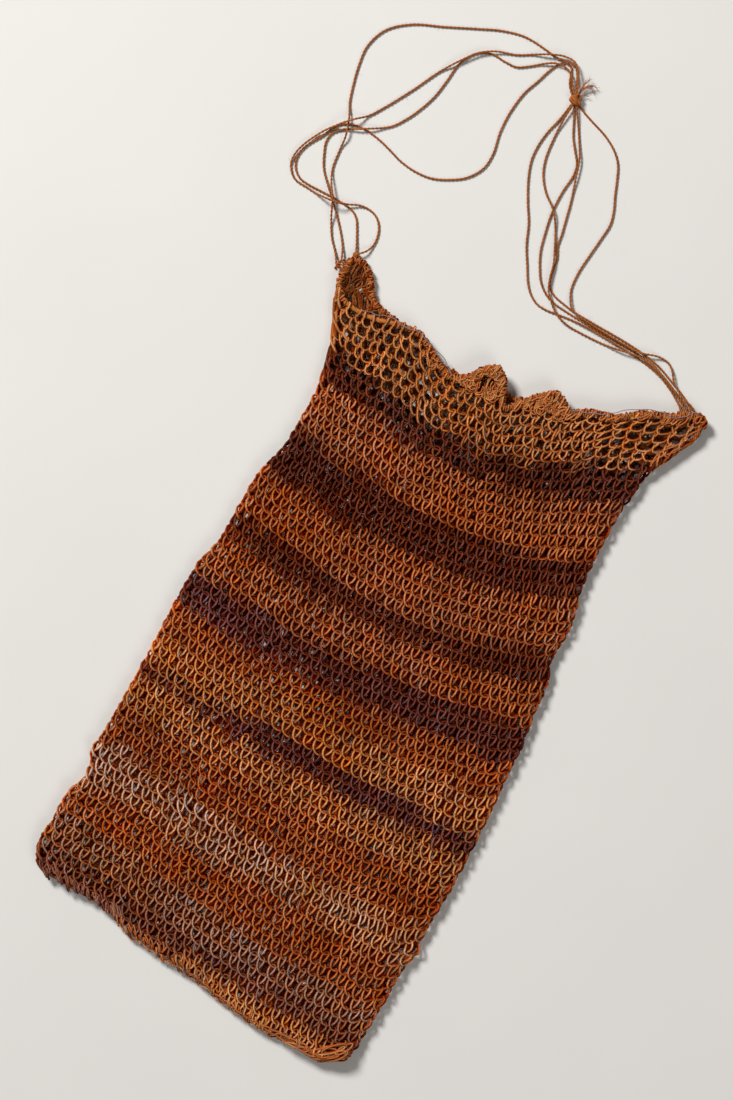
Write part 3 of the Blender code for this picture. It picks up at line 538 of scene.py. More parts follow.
def through(points, per_step):
    """A smooth line through evenly timed points, between the second and the one before the last."""
    a, b, c, d = points[:-3, None], points[1:-2, None], points[2:-1, None], points[3:, None]
    t = (np.arange(per_step) / per_step)[None, :, None]
    fine = 0.5 * (2 * b + (c - a) * t + (2 * a - 5 * b + 4 * c - d) * t**2 + (3 * b - a - 3 * c + d) * t**3)
    return np.concatenate([fine.reshape(-1, points.shape[1]), points[-2:-1]])


def ramp(x, low, high):
    """A smooth rise from 0 at low to 1 at high."""
    t = np.clip((x - low) / (high - low), 0.0, 1.0)
    return t * t * (3 - 2 * t)


def unit(vectors):
    """These directions with a length of 1."""
    return vectors / np.maximum(np.linalg.norm(vectors, axis=-1, keepdims=True), 1e-9)


def directions_across(line, outward, closed=False):
    """Two directions across a line at each of its points: beside it, and up towards outward."""
    if closed:
        run = unit(np.roll(line, -1, 0) - np.roll(line, 1, 0))
    else:
        run = unit(np.gradient(line, axis=0))
    side = unit(np.cross(run, outward))
    return side, np.cross(side, run)


def turned_by(side, up, angle):
    """The directions that lie at these angles round a line, counted from up."""
    return up * np.cos(angle)[:, None] + side * np.sin(angle)[:, None]


def keep_above(points, height):
    """Raises the points that lie lower than this above the surface."""
    points[..., 2] = np.maximum(points[..., 2], height)


LEFT = smooth(LEFT_SIDE, 1.0)
RIGHT = smooth(RIGHT_SIDE, 1.0)
SHARES = np.linspace(0.0, 1.0, 401)


def across_at(y, share):
    """The x of a place at a share of the width, at this height of the outline."""
    left = np.interp(y, LEFT[:, 0], LEFT[:, 1])
    right = np.interp(y, RIGHT[:, 0], RIGHT[:, 1])
    return left * (1 - share) + right * share


def edge_line(table, start):
    """Where each column of the fabric meets an edge: y, and the edge's curl, for each of the shares."""
    edge = smooth(table, 1.0)
    y = np.full(len(SHARES), float(start))
    for _ in range(EDGE_STEPS):
        y = (y + np.interp(across_at(y, SHARES), edge[:, 0], edge[:, 1])) / 2
    return y, np.interp(across_at(y, SHARES), edge[:, 0], edge[:, 2])


BOTTOM = edge_line(BOTTOM_EDGE, 0.0)[0]
FRONT_TOP, CURL = edge_line(FRONT_MOUTH, 610.0)
NET_TOP = edge_line(NET_MOUTH, 610.0)[0]
BACK_TOP = edge_line(BACK_MOUTH, 610.0)[0]
GUIDE = np.polyval(np.polyfit(*np.array(ROUND_GUIDE, float).T, 2), SHARES)
TURN = (NET_HIGH - NET_LOW) / 2  # radius of the fabric's middle round the sides
MIDDLE = (NET_HIGH + NET_LOW) / 2
QUARTER = TURN * math.pi / 2
LAYER = SPAN - 2 * ROUND + 2 * QUARTER  # across one layer, from side to side along the fabric
STITCH = LAYER / STITCHES
ROUND_HIGH = HEIGHT / ROUNDS


def height_share(rounds):
    """How far up the pouch a round lies, as a share of its length. It goes on past 1 beyond the mouth."""
    at = np.arange(ROUNDS + 1)
    heights = np.interp(at[:-1] + 0.5, *np.array(ROUND_HEIGHTS, float).T)
    up = np.concatenate([[0.0], np.cumsum(heights)]) / heights.sum()
    past = np.maximum(0.0, rounds - ROUNDS) * (up[-1] - up[-2])
    below = np.minimum(0.0, rounds) * (up[1] - up[0])
    return np.interp(rounds, at, up) + past + below


def swelling(x, y, from_bottom, from_mouth, curl):
    """How far the front stands above its flat level."""
    low = sum(h * np.sin(math.tau * (x / a + y / b) + s) for h, a, b, s in RIPPLES)
    rolled = np.sin(math.pi * np.minimum(1.0, from_bottom / CLOSING_WIDE)) * ramp(x, *ROLL_STARTS)
    bunched = 1 + ROLL_BUNCHES * ramp(x, *BUNCH_STARTS)
    return low + CLOSING_HIGH * rolled * bunched + curl * np.exp(-from_mouth / MOUTH_FADE)


def on_bag(u, rounds, out=0.0):
    """Places in the fabric, and the directions that face out of it there.

    u counts stitches round the pouch from its left side, over the front first. rounds counts the rounds
    from the bottom. out is how far the place lies out of the fabric's middle, in millimetres.
    """
    u = np.mod(u, 2 * STITCHES)
    front = u <= STITCHES
    a = np.where(front, u, 2 * STITCHES - u) * STITCH
    b = LAYER - a
    left, right = np.minimum(a / TURN, math.pi / 2), np.minimum(b / TURN, math.pi / 2)
    side = np.where(a < QUARTER, ROUND - TURN * np.cos(left), ROUND + a - QUARTER)
    side = np.where(b < QUARTER, SPAN - ROUND + TURN * np.cos(right), side)
    wider, widest = UNEVEN
    share = side / SPAN
    share = share + wider / math.tau * (np.sin(math.tau * (share - widest)) + math.sin(math.tau * widest))
    s = height_share(rounds)
    gathered = GATHERED * np.exp(-share / GATHER_WIDE) * ramp(s, GATHER_FROM, 1.0)
    share = np.where(front, share, share * (1 - gathered))
    top = np.where(front, np.interp(share, SHARES, FRONT_TOP), np.interp(share, SHARES, BACK_TOP))
    dropped = (FRONT_TOP[0] - NET_TOP[0]) * (1 - ramp(share, 0.0, DROP_WIDE))
    net_top = np.where(front, np.interp(share, SHARES, NET_TOP), top - dropped)
    even = np.interp(share, SHARES, GUIDE)
    bottom = np.interp(share, SHARES, BOTTOM)
    meet = even + (net_top - even) * ramp(s, GUIDE_ENDS, 1.0)
    meet = meet + (top - net_top) * ramp(rounds, ROUNDS - 0.8, ROUNDS + 0.2)
    y = bottom + (meet - bottom) * s
    slip = ramp(np.minimum(side, SPAN - side), *SLIP_SIDES) * ramp(s, 0.0, SLIP_ENDS[0])
    slip = slip * (1 - ramp(s, SLIP_ENDS[1], 1.0))
    y = np.where(front, y, y + BACK_SLIP * slip)
    x = across_at(y, share)
    inward = np.clip(s * HEIGHT / ROUND, 0.0, 1.0)
    closing = np.sqrt(np.maximum(0.0, 1 - (1 - inward) ** 2))
    rise = np.sin(np.minimum(left, right)) * closing
    lift = swelling(x, y, s * HEIGHT, np.maximum(0.0, top - y), np.interp(share, SHARES, CURL))
    lift = lift * np.minimum(1.0, np.minimum(side, SPAN - side) / SIDE_FADE)
    raised = MOUTH_RAISED * ramp(rounds, ROUNDS - 2.0, ROUNDS)
    z = np.where(front, MIDDLE + rise * (TURN + lift), MIDDLE - rise * (TURN - raised))
    facing = np.stack([np.cos(right) - np.cos(left), inward - 1, np.where(front, rise, -rise)], -1)
    facing = unit(facing)
    return np.stack([x, y, z], -1) + facing * np.asarray(out)[..., None], facing


class Strands:
    """Tubes along lines, gathered into one mesh. Each point keeps its dye, with any painted shade multiplied
    in, and how far its crest is paler as wear and painted highlight, and each corner keeps how far along
    its strand and how far round it lies, as a UV map."""

    def __init__(self):
        self.points = []
        self.dye = []
        self.worn = []
        self.corners = []
        self.sizes = []
        self.uv = []
        self.count = 0

    def add(
        self, line, outward, radius, sides, dye, closed=False, inner=(1, 1, 1), worn=0.0, pressed=1.0
    ):
        """A tube along a line. outward is a direction across the line at each of its points, from which
        the way round it is counted. inner is what is left of the dye on the side away from there, as painted
        shade, and worn how far the crest that faces there is paler, from 0 to 1, partly as wear and partly as
        a painted highlight. pressed is how much wider than round it is, by lying pressed flat."""
        n = len(line)
        side, up = directions_across(line, outward, closed)
        angle = math.tau * np.arange(sides) / sides
        ring = up[:, None] * np.cos(angle)[None, :, None] / pressed
        ring = ring + side[:, None] * np.sin(angle)[None, :, None] * pressed
        radius = np.broadcast_to(radius, (n,))
        points = line[:, None] + ring * radius[:, None, None]
        self.points.append(points.reshape(-1, 3))
        # Painted shade: the dye darkens round the tube towards the side away from outward.
        under = ((1 - np.cos(angle)) / 2)[None, :, None]
        tint = 1 - under * (1 - np.array(inner, float))
        self.dye.append((np.broadcast_to(dye, (n, 3))[:, None] * tint).reshape(-1, 3))
        self.worn.append(np.full(n * sides, worn))
        along = np.concatenate([[0.0], np.cumsum(np.linalg.norm(np.diff(line, axis=0), axis=1))])
        steps = n if closed else n - 1
        i = np.arange(steps)[:, None]
        k = np.arange(sides)[None, :]
        after = (i + 1) % n
        beside = (k + 1) % sides
        quads = np.stack([i * sides + k, i * sides + beside, after * sides + beside, after * sides + k], -1)
        self.corners.append(quads.reshape(-1) + self.count)
        self.sizes.append(np.full(steps * sides, 4))
        far = np.append(along, along[-1] + along[1])[1:] if closed else along[1:]
        u0, u1 = np.broadcast_arrays(along[:steps, None], far[:steps, None])
        u0, u1 = np.repeat(u0, sides, 1), np.repeat(u1, sides, 1)
        v0 = np.repeat(k / sides, steps, 0)
        v1 = v0 + 1 / sides
        uv = np.stack([u0, v0, u0, v1, u1, v1, u1, v0], -1)
        self.uv.append(uv.reshape(-1, 2))
        if not closed:
            for first, order in ((0, -1), ((n - 1) * sides, 1)):
                self.corners.append((np.arange(sides)[::order] + first) + self.count)
                self.sizes.append(np.array([sides]))
                self.uv.append(np.full((sides, 2), 0.5))
        self.count += n * sides

    def build(self, name, material, slot):
        """The gathered tubes as one object that rides on the bag."""
        mesh = bpy.data.meshes.new(name)
        points = place(np.concatenate(self.points))
        corners = np.concatenate(self.corners).astype(np.int32)
        face_sizes = np.concatenate(self.sizes)
        starts = np.concatenate([[0], np.cumsum(face_sizes)[:-1]]).astype(np.int32)
        mesh.vertices.add(len(points))
        mesh.vertices.foreach_set("co", points.astype(np.float32).ravel())
        mesh.loops.add(len(corners))
        mesh.polygons.add(len(starts))
        mesh.polygons.foreach_set("loop_start", starts)
        mesh.polygons.foreach_set("vertices", corners)
        mesh.update(calc_edges=True)
        mesh.shade_smooth()
        # The dye of each point, with any painted shade multiplied in.
        dye = np.concatenate(self.dye)
        shade = mesh.attributes.new("dye", "FLOAT_COLOR", "POINT")
        shade.data.foreach_set("color", np.c_[dye, np.ones(len(dye))].astype(np.float32).ravel())
        # How far each point's crest is paler, partly as wear and partly as a painted highlight.
        crest = mesh.attributes.new("worn", "FLOAT", "POINT")
        crest.data.foreach_set("value", np.concatenate(self.worn).astype(np.float32))
        strand = mesh.uv_layers.new(name="strand")
        strand.uv.foreach_set("vector", np.concatenate(self.uv).astype(np.float32).ravel())
        mesh.materials.append(material)
        obj = bpy.data.objects.new(name, mesh)
        bpy.context.scene.collection.objects.link(obj)
        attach(obj, "root")
        return obj


def add_node(tree, kind, inputs=(), **settings):
    """One shader node with its settings. Its inputs, by name or place, are values or nodes' outputs."""
    node = tree.nodes.new(kind)
    for name, value in settings.items():
        setattr(node, name, value)
    for name, value in dict(inputs).items():
        if isinstance(value, bpy.types.NodeSocket):
            tree.links.new(value, node.inputs[name])
        else:
            node.inputs[name].default_value = value
    return node


def mixed(noise, amounts):
    """Factors for red, green and blue that make a dye lighter or darker, and redder or yellower."""
    light, yellow = noise
    paler = 1 + amounts[0] * light
    return np.stack([paler, paler * (1 + amounts[1] * yellow), paler * (1 + amounts[2] * yellow)], -1)


def along_string(rng, count, step, lengths):
    """Smooth noise along a string of this many points, step apart, with waves of these lengths."""
    at = np.arange(count) * step
    waves = [np.sin(math.tau * (at / (w * rng.uniform(0.8, 1.25)) + rng.random())) for w in lengths]
    return sum(waves) / math.sqrt(len(lengths))


def plant_fibre(name, lead, streaks, grooves, deep):
    """Dry twisted plant fibre. lead is the length in which its plies turn once, in millimetres, streaks
    how dark its fibres' gaps look, grooves how dark the painted shade in its plies' seams is, and deep the
    plies' relief in metres."""
    material = bpy.data.materials.new(name)
    material.use_nodes = True
    tree = material.node_tree
    shader = tree.nodes["Principled BSDF"]
    dye = add_node(tree, "ShaderNodeAttribute", attribute_name="dye", attribute_type="GEOMETRY")
    strand = add_node(tree, "ShaderNodeUVMap", uv_map="strand")
    place_on = add_node(tree, "ShaderNodeSeparateXYZ", {"Vector": strand.outputs["UV"]})
    turned = add_node(
        tree, "ShaderNodeMath", {0: place_on.outputs["X"], 1: -1 / lead, 2: place_on.outputs["Y"]},
        operation="MULTIPLY_ADD",
    )
    angle = add_node(tree, "ShaderNodeMath", {0: turned.outputs[0], 1: math.tau}, operation="MULTIPLY")
    over = add_node(tree, "ShaderNodeMath", {0: angle.outputs[0]}, operation="COSINE")
    beside = add_node(tree, "ShaderNodeMath", {0: angle.outputs[0]}, operation="SINE")
    ply = add_node(tree, "ShaderNodeMath", {0: over.outputs[0]}, operation="ABSOLUTE")
    # Fibres run some 8 mm before they go under others: the noise is that much longer than it is wide.
    along = add_node(
        tree, "ShaderNodeMath", {0: place_on.outputs["X"], 1: FIBRE_STRETCH}, operation="MULTIPLY"
    )
    twisted = add_node(
        tree, "ShaderNodeCombineXYZ", {"X": over.outputs[0], "Y": beside.outputs[0], "Z": along.outputs[0]}
    )
    fibres = add_node(
        tree, "ShaderNodeTexNoise",
        {"Vector": twisted.outputs[0], "Scale": 4.5, "Detail": 4.0, "Roughness": 0.65},
    )
    lit = add_node(
        tree, "ShaderNodeMapRange",
        {
            "Value": fibres.outputs["Fac"], "From Min": 0.3, "From Max": 0.7,
            "To Min": 1 - streaks, "To Max": 1 + streaks,
        },
    )
    # Painted shade: the colour darkens in the seams between the plies.
    seam_shade = add_node(
        tree, "ShaderNodeMapRange",
        {"Value": ply.outputs[0], "From Min": 0.0, "From Max": 0.45, "To Min": 1 - grooves, "To Max": 1.0},
    )
    light = add_node(tree, "ShaderNodeMath", {0: lit.outputs[0], 1: seam_shade.outputs[0]}, operation="MULTIPLY")
    # The string's crest, the side that faces out of the fabric, is paler: partly dye rubbed off, partly a
    # painted highlight.
    way_round = add_node(
        tree, "ShaderNodeMath", {0: place_on.outputs["Y"], 1: math.tau}, operation="MULTIPLY"
    )
    facing = add_node(tree, "ShaderNodeMath", {0: way_round.outputs[0]}, operation="COSINE", use_clamp=True)
    crest = add_node(tree, "ShaderNodeMath", {0: facing.outputs[0], 1: CREST_SHARP}, operation="POWER")
    worn = add_node(tree, "ShaderNodeAttribute", attribute_name="worn", attribute_type="GEOMETRY")
    rubbed = add_node(
        tree, "ShaderNodeMath", {0: crest.outputs[0], 1: worn.outputs["Fac"]}, operation="MULTIPLY"
    )
    paler = add_node(
        tree, "ShaderNodeVectorMath",
        {0: rubbed.outputs[0], 1: [w - 1 for w in WEAR_AND_HIGHLIGHT_TINT], 2: (1.0, 1.0, 1.0)}, operation="MULTIPLY_ADD",
    )
    dyed = add_node(
        tree, "ShaderNodeVectorMath", {0: dye.outputs["Color"], 1: paler.outputs[0]}, operation="MULTIPLY"
    )
    tone = add_node(
        tree, "ShaderNodeVectorMath", {0: dyed.outputs[0], "Scale": light.outputs[0]}, operation="SCALE"
    )
    dull = add_node(
        tree, "ShaderNodeMapRange", {"Value": fibres.outputs["Fac"], "To Min": 0.95, "To Max": 0.7}
    )
    height = add_node(
        tree, "ShaderNodeMath", {0: fibres.outputs["Fac"], 1: 0.4, 2: ply.outputs[0]},
        operation="MULTIPLY_ADD",
    )
    relief = add_node(
        tree, "ShaderNodeBump", {"Height": height.outputs[0], "Distance": deep, "Strength": 0.8}
    )
    tree.links.new(tone.outputs[0], shader.inputs["Base Color"])
    tree.links.new(dull.outputs[0], shader.inputs["Roughness"])
    tree.links.new(relief.outputs[0], shader.inputs["Normal"])
    shader.inputs["Specular IOR Level"].default_value = 0.025
    return material


def looped_string_fibre():
    # Bark fibre rolled on the thigh into a hard two-ply string and dyed before it is looped: the plies
    # show as a fine slanting ribbing, and the dye is uneven along each length.
    return plant_fibre(
        "looped_bark_fibre_string", lead=sizes().net_lead / MM, streaks=0.34, grooves=0.34, deep=0.00030
    )


def handle_string_fibre():
    # The same string, undyed, with the plies standing out as separate strands.
    return plant_fibre(
        "handle_bark_fibre_string", lead=sizes().handle_lead / MM, streaks=0.20, grooves=0.10, deep=0.00012
    )


def mouth_cord_fibre():
    # A thicker cord of the same fibre, worn soft at the mouth.
    return plant_fibre(
        "mouth_bark_fibre_cord", lead=sizes().rim_lead / MM, streaks=0.22, grooves=0.15, deep=0.00015
    )


def frayed_bark_fibre():
    # Single untwisted fibres: paler, thin and dry, with a little shine along them.
    material = plant_fibre("frayed_bark_fibre", lead=40.0, streaks=0.15, grooves=0.0, deep=0.00003)
    material.node_tree.nodes["Principled BSDF"].inputs["Sheen Weight"].default_value = 0.2
    return material


def lacing_thread_fibre():
    # A thin spun thread with a soft mauve-grey dye.
    return plant_fibre("spun_lacing_thread", lead=2.5, streaks=0.15, grooves=0.3, deep=0.00006)


def painted_board():
    # Matt emulsion on a smooth board: a flat pale surface with the faintest cloudiness.
    material = bpy.data.materials.new("matt_painted_board")
    material.use_nodes = True
    tree = material.node_tree
    shader = tree.nodes["Principled BSDF"]
    spot = add_node(tree, "ShaderNodeTexCoord")
    clouds = add_node(
        tree, "ShaderNodeTexNoise", {"Vector": spot.outputs["Object"], "Scale": 6.0, "Detail": 3.0}
    )
    faint = add_node(
        tree, "ShaderNodeMapRange", {"Value": clouds.outputs["Fac"], "To Min": 0.97, "To Max": 1.02}
    )
    paint = add_node(
        tree, "ShaderNodeVectorMath", {0: tuple(dyes().floor), "Scale": faint.outputs[0]}, operation="SCALE"
    )
    grain = add_node(
        tree, "ShaderNodeTexNoise", {"Vector": spot.outputs["Object"], "Scale": 900.0, "Detail": 2.0}
    )
    relief = add_node(
        tree, "ShaderNodeBump", {"Height": grain.outputs["Fac"], "Distance": 0.00005, "Strength": 0.5}
    )
    tree.links.new(paint.outputs[0], shader.inputs["Base Color"])
    tree.links.new(relief.outputs[0], shader.inputs["Normal"])
    shader.inputs["Roughness"].default_value = 0.9
    shader.inputs["Specular IOR Level"].default_value = 0.2
    return material


def bell(distance):
    """The profile of a string's rise over another, 1 in the middle and 0 one hump away."""
    slope = np.clip((distance - HUMP_TOP) / (HUMP - HUMP_TOP), 0.0, 1.0)
    return np.cos(math.pi / 2 * slope) ** 2


def lay_over(line, laid, corner_rise):
    """The line with each point as high as it has to be to pass over the strings laid before it."""
    need = np.zeros(len(line))
    if len(laid):
        flat = np.hypot(line[:, None, 0] - laid[None, :, 0], line[:, None, 1] - laid[None, :, 1])
        over = laid[None, :, 2] + np.sqrt(np.maximum(0.0, APART**2 - flat**2)) - ON_FLOOR
        need = np.where(flat < APART, over, 0.0).max(axis=1)
    along = np.concatenate([[0.0], np.cumsum(np.hypot(*np.diff(line[:, :2], axis=0).T))])
    rise = (need[None, :] * bell(np.abs(along[:, None] - along[None, :]))).max(axis=1)
    rise = np.maximum(rise, corner_rise * bell(along))
    return np.c_[line[:, :2], ON_FLOOR + rise]


def in_knot(points):
    """Which points of a string lie in the knot."""
    away = points - KNOT_CENTRE
    level = np.maximum(0.0, np.abs(away[:, 2]) - KNOT_MIDDLE) / (KNOT_SIZE[2] / 2)
    share = np.sqrt(np.maximum(KNOT_LEAST, 1 - level**2))
    angle = math.radians(-KNOT_TURN)
    x = away[:, 0] * math.cos(angle) - away[:, 1] * math.sin(angle)
    y = away[:, 0] * math.sin(angle) + away[:, 1] * math.cos(angle)
    wide, high = (size / 2 * share + KNOT_MARGIN for size in KNOT_SIZE[:2])
    return np.hypot(x / wide, y / high) < 1


def handle_routes():
    """The middle line of each handle string, laid down one after another and run into the knot."""
    laid = np.empty((0, 3))
    routes = {}
    for name, (corner_rise, route) in STRINGS.items():
        line = lay_over(smooth(route, ROUTE_STEP), laid, corner_rise)
        line = line[: int(np.argmax(in_knot(line)))]
        laid = np.concatenate([laid, line])
        into_knot = line[-1] + (np.array(KNOT_CENTRE) - line[-1]) * np.array(INTO_KNOT)[:, None]
        routes[name] = np.concatenate([line, into_knot])
    return routes


def two_ply(strands, line, width, lead, dye):
    """A string of two plies twisted round each other along a line. width is across both."""
    line, dye = spaced(line, lead / TURN_STEPS, dye, least=4)
    side, up = directions_across(line, UP)
    turn = math.tau * length_of(line) / lead * np.linspace(0, 1, len(line))
    for start in (0.0, math.pi):
        away = turned_by(side, up, turn + start)
        strands.add(line + away * (PLY_OFF * width), away, PLY_THICK * width, 6, dye)


def tinted(rng, base, count, step, amounts=(0.10, 0.05, 0.10)):
    """A dye along a string, as uneven as a string rubbed by hand."""
    noise = [along_string(rng, count, step, TINT_WAVES) for _ in range(2)]
    return np.array(base)[None] * mixed(noise, amounts)


def strays(way, number):
    """How far a round strays round the pouch, in stitches, and up it, in rounds: slow waves."""
    wander = 0.25 * np.sin(number / 5.5 + 2 * np.cos(2 * way)) * np.sin(way)
    rise = 0.10 * np.cos(5 * way + 2 * np.sin(number * 0.4)) + 0.07 * np.cos(11 * way) * np.sin(number * 0.7)
    return wander, rise * (1 - number / ROUNDS)


def patches(x, y):
    """Two fields of soft patches over the pouch, from -2 to 2, where its dye differs."""
    hue = np.sin(x / 38 + 2 * np.sin(y / 47)) + np.sin(y / 29 - x / 71 + 1.7)
    light = np.sin(x / 52 - 2 * np.sin(y / 41 + 0.8)) + np.sin(y / 23 + x / 83)
    return light, hue


def banded(rng, u, v, way, number):
    """The dye of each loop of a round: its band's, faded into the next, with patches of another hue."""
    base, _ = on_bag(u, v + SEEN_AT)
    a = np.where(u <= STITCHES, u, 2 * STITCHES - u) / STITCHES
    edges = [np.polyval(np.polyfit(BAND_AT, band[1:], 2), a) for band in BANDS[:-1]]
    palette = np.array([tuple(getattr(dyes(), band[0])) for band in BANDS])
    waves, spread = BAND_DRIFT
    drift = waves * np.sin(2 * way + number * 1.9) + rng.normal(0, spread, (len(u), 1))
    dye = np.broadcast_to(palette[0], (len(u), 1, 3))
    for edge, below, over in zip(edges, palette, palette[1:]):
        share = ramp(base[..., 1] + drift - edge, -BAND_BLEND, BAND_BLEND)
        dye = dye + share[..., None] * (over - below)
    return dye * mixed(patches(base[..., 0], base[..., 1]), PATCH_HUE)


def round_controls(rng, number):
    """The points that one round's string passes through, all round the pouch: where they lie, which way
    the fabric faces there, and the dye, darker as painted shade where the string lies low."""
    n = 2 * STITCHES
    stitch = np.arange(n)[:, None]
    way = math.tau * stitch / n
    here, _ = on_bag(stitch + 0.5, np.full((n, 1), number + 0.5))
    above, _ = on_bag(stitch + 0.5, np.full((n, 1), number + 1.5))
    close = ramp(here[..., 0], *KEPT_CLOSE[:2]) * (1 - ramp(here[..., 0], *KEPT_CLOSE[2:]))
    opened = (ramp(number, *OPEN_FROM) * (1 - close) * (stitch < STITCHES))[..., None]
    loop = np.array(LOOP) * (1 - opened) + np.array(OPEN_LOOP) * opened
    if number == ROUNDS - 1:
        loop = np.broadcast_to(np.array(LAST_LOOP), (n, len(LAST_LOOP), 3))
    rough = sizes().unevenness * (1 + MOUTH_UNEVEN * ramp(number, *OPEN_FROM))
    shift, wide, high, lean = (rough * rng.normal(0, s, (n, 1)) for s in LOOP_SPREAD)
    if number >= ROUNDS - 2:
        high = high * LAST_EVEN
    wander, rise = strays(way, number)
    across, up = loop[..., 0], loop[..., 1]
    u = stitch + TURNED + 0.5 * (number % 2) + wander + shift + across + (across - 0.5) * wide
    leaning = (above - here)[..., 0] / STITCH * np.where(stitch < STITCHES, 1, -1)
    u = u + (lean - UPRIGHT * leaning) * np.maximum(0, up - 0.1)
    v = number + FIRST_ROUND + rise + up * (1 + high)
    out = loop[..., 2] * sizes().net_string / MM
    points, facing = on_bag(u, v, out)
    keep_above(points, sizes().net_string / MM / 2 + TOUCH)
    dye = banded(rng, np.mod(u[:, :1], n), v[:, :1], way, number)
    dye = dye * mixed([rng.normal(0, 1, (n, 1)) for _ in range(2)], LOOP_HUE)
    # Painted shade: the parts of a loop that lie low in the fabric are darker.
    begins, whole = LOW_FROM
    low = np.clip((begins - loop[..., 2]) / (begins - whole), 0, 1)[..., None]
    dye = dye * (1 - low * (1 - np.array(LOW_SHADE_TINT)))
    return np.concatenate([points, facing, dye], -1).reshape(-1, 9)


def net_rounds():
    """Each round's string as two smooth lines, over the front and over the back, with facing and dye."""
    rng = np.random.default_rng(31)
    rounds = []
    for number in range(ROUNDS):
        controls = round_controls(rng, number)
        fine = through(np.concatenate([controls[-1:], controls, controls[:2]]), CONTROL_STEPS)
        noise = [along_string(rng, len(fine), CONTROL_GAP, (7, 19, 60, 400)) for _ in range(2)]
        fine[:, 6:] *= mixed(noise, STRING_HUE)
        half = len(controls) * CONTROL_STEPS // 2
        sides = []
        for part, per_stitch in ((fine[: half + 1], FRONT_POINTS), (fine[half:], BACK_POINTS)):
            line, rest = evenly(part[:, :3], STITCHES * per_stitch, part[:, 3:])
            sides.append((line, unit(rest[:, :3]), np.clip(rest[:, 3:], 0, 1)))
        rounds.append(sides)
    return rounds


def mouth_line(rounds_out, step):
    """The closed line that runs round the mouth, this many rounds outside the fabric's edge."""
    u = np.linspace(0, 2 * STITCHES, MOUTH_SAMPLES)
    points, facing = on_bag(u, np.full(len(u), ROUNDS + rounds_out))
    line, facing = spaced(points, step, facing)
    return line[:-1], unit(facing[:-1])


def loose_loop(rng, middle, wide, high, lean, out):
    """An open loop of string that lies on the front near this place, and the way the front faces there."""
    t = np.linspace(-0.3, math.pi + 0.3, 11) + math.pi
    x, y = wide * np.cos(t), high * np.sin(t) * (1 + 0.5 * (np.sin(t) > 0))
    x, y = x * math.cos(lean) - y * math.sin(lean), x * math.sin(lean) + y * math.cos(lean)
    x, y = x + middle[0], y + middle[1]
    left = np.interp(y, LEFT[:, 0], LEFT[:, 1])
    share = (x - left) / (np.interp(y, RIGHT[:, 0], RIGHT[:, 1]) - left)
    top, curl = np.interp(share, SHARES, FRONT_TOP), np.interp(share, SHARES, CURL)
    y = np.minimum(y, top + 1.5)
    lift = swelling(x, y, y, np.maximum(0.0, top - y), curl)
    lift = lift * np.clip(np.minimum(share, 1 - share) * SPAN / SIDE_FADE, 0, 1)
    out = out + 1.1 * np.sin(t * 1.5 + rng.uniform(0, 6)) + rng.normal(0, 0.5)
    line = np.stack([x, y, NET_HIGH + lift + out], -1)
    line = through(np.concatenate([line[:1], line, line[-1:]]), 2)
    return line, np.broadcast_to(UP, line.shape)


def in_curl_hole(x, y):
    """Whether a place lies in one of the holes that the mouth's curls leave open."""
    return any(math.hypot((x - a) / wide, (y - b) / high) < 1 for a, b, wide, high in CURL_HOLES)


def ring_round(centre, size, turn, tilt, roll, steps=22):
    """A closed turn of string over a rounded lump, and the directions that face out of it. The angles are
    in degrees."""
    turn, tilt, roll = (math.radians(angle) for angle in (turn, tilt, roll))
    t = math.tau * np.arange(steps) / steps
    flat = np.stack([np.cos(t), np.sin(t), np.zeros(steps)], -1)
    for axis, angle in ((0, tilt), (1, roll)):
        c, s = math.cos(angle), math.sin(angle)
        others = [k for k in range(3) if k != axis]
        a, b = flat[:, others[0]].copy(), flat[:, others[1]].copy()
        flat[:, others[0]], flat[:, others[1]] = a * c - b * s, a * s + b * c
    facing = flat.copy()
    flat = flat * (np.array(size) / 2)
    c, s = math.cos(turn), math.sin(turn)
    spin = np.array([[c, -s, 0], [s, c, 0], [0, 0, 1]])
    return flat @ spin.T + np.array(centre), facing @ spin.T


def hair(strands, rng, root, aim, length, thick, dye):
    """One fine fibre that curves away from its root and thins towards its tip."""
    bend = unit(rng.normal(0, 1, 3)) * length * HAIR_BENDS
    t = np.linspace(0, 1, 4)[:, None]
    line = root + aim * length * t + bend * t**2 - np.array([0, 0, HAIR_DROOPS * length]) * t**2
    keep_above(line, thick)
    radius = thick / 2 * np.linspace(1.0, 0.35, 4)
    across = np.cross(aim, (0.3, 0.5, 0.81))
    strands.add(line, across[None], radius, 3, dye)


def along_mouth(first, last, count):
    """Points along the foundation cord's middle from one stitch to another: u, place and facing."""
    u = np.linspace(first, last, count)
    middle, facing = on_bag(u, np.full(len(u), ROUNDS + RIM_OUT))
    return u, middle, facing


def foundation_cord(rng):
    """The cord inside the last loops: three plies in a closed ring, darker away from the mouth's left corner.
    """
    width, lead = sizes().rim_cord / MM, sizes().rim_lead / MM
    line, facing = mouth_line(RIM_OUT, lead / RIM_STEPS)
    turns = round(length_of(line) / lead)
    side, up = directions_across(line, facing, closed=True)
    turn = math.tau * turns * np.arange(len(line)) / len(line)
    darkened = ramp(line[:, 0], *CORD_DARKENS)[:, None]
    noise = [along_string(rng, len(line), lead / RIM_STEPS, (12, 40)) for _ in range(2)]
    dye = np.array(dyes().mouth_cord) * (1 - CORD_DARKER * darkened) * mixed(noise, (0.1, 0.05, 0.1))
    strands = Strands()
    for start in RIM_PLIES:
        away = turned_by(side, up, turn + start)
        strands.add(line + away * (RIM_PLY_OFF * width), away, RIM_PLY_THICK * width, 6, dye, closed=True)
    return strands


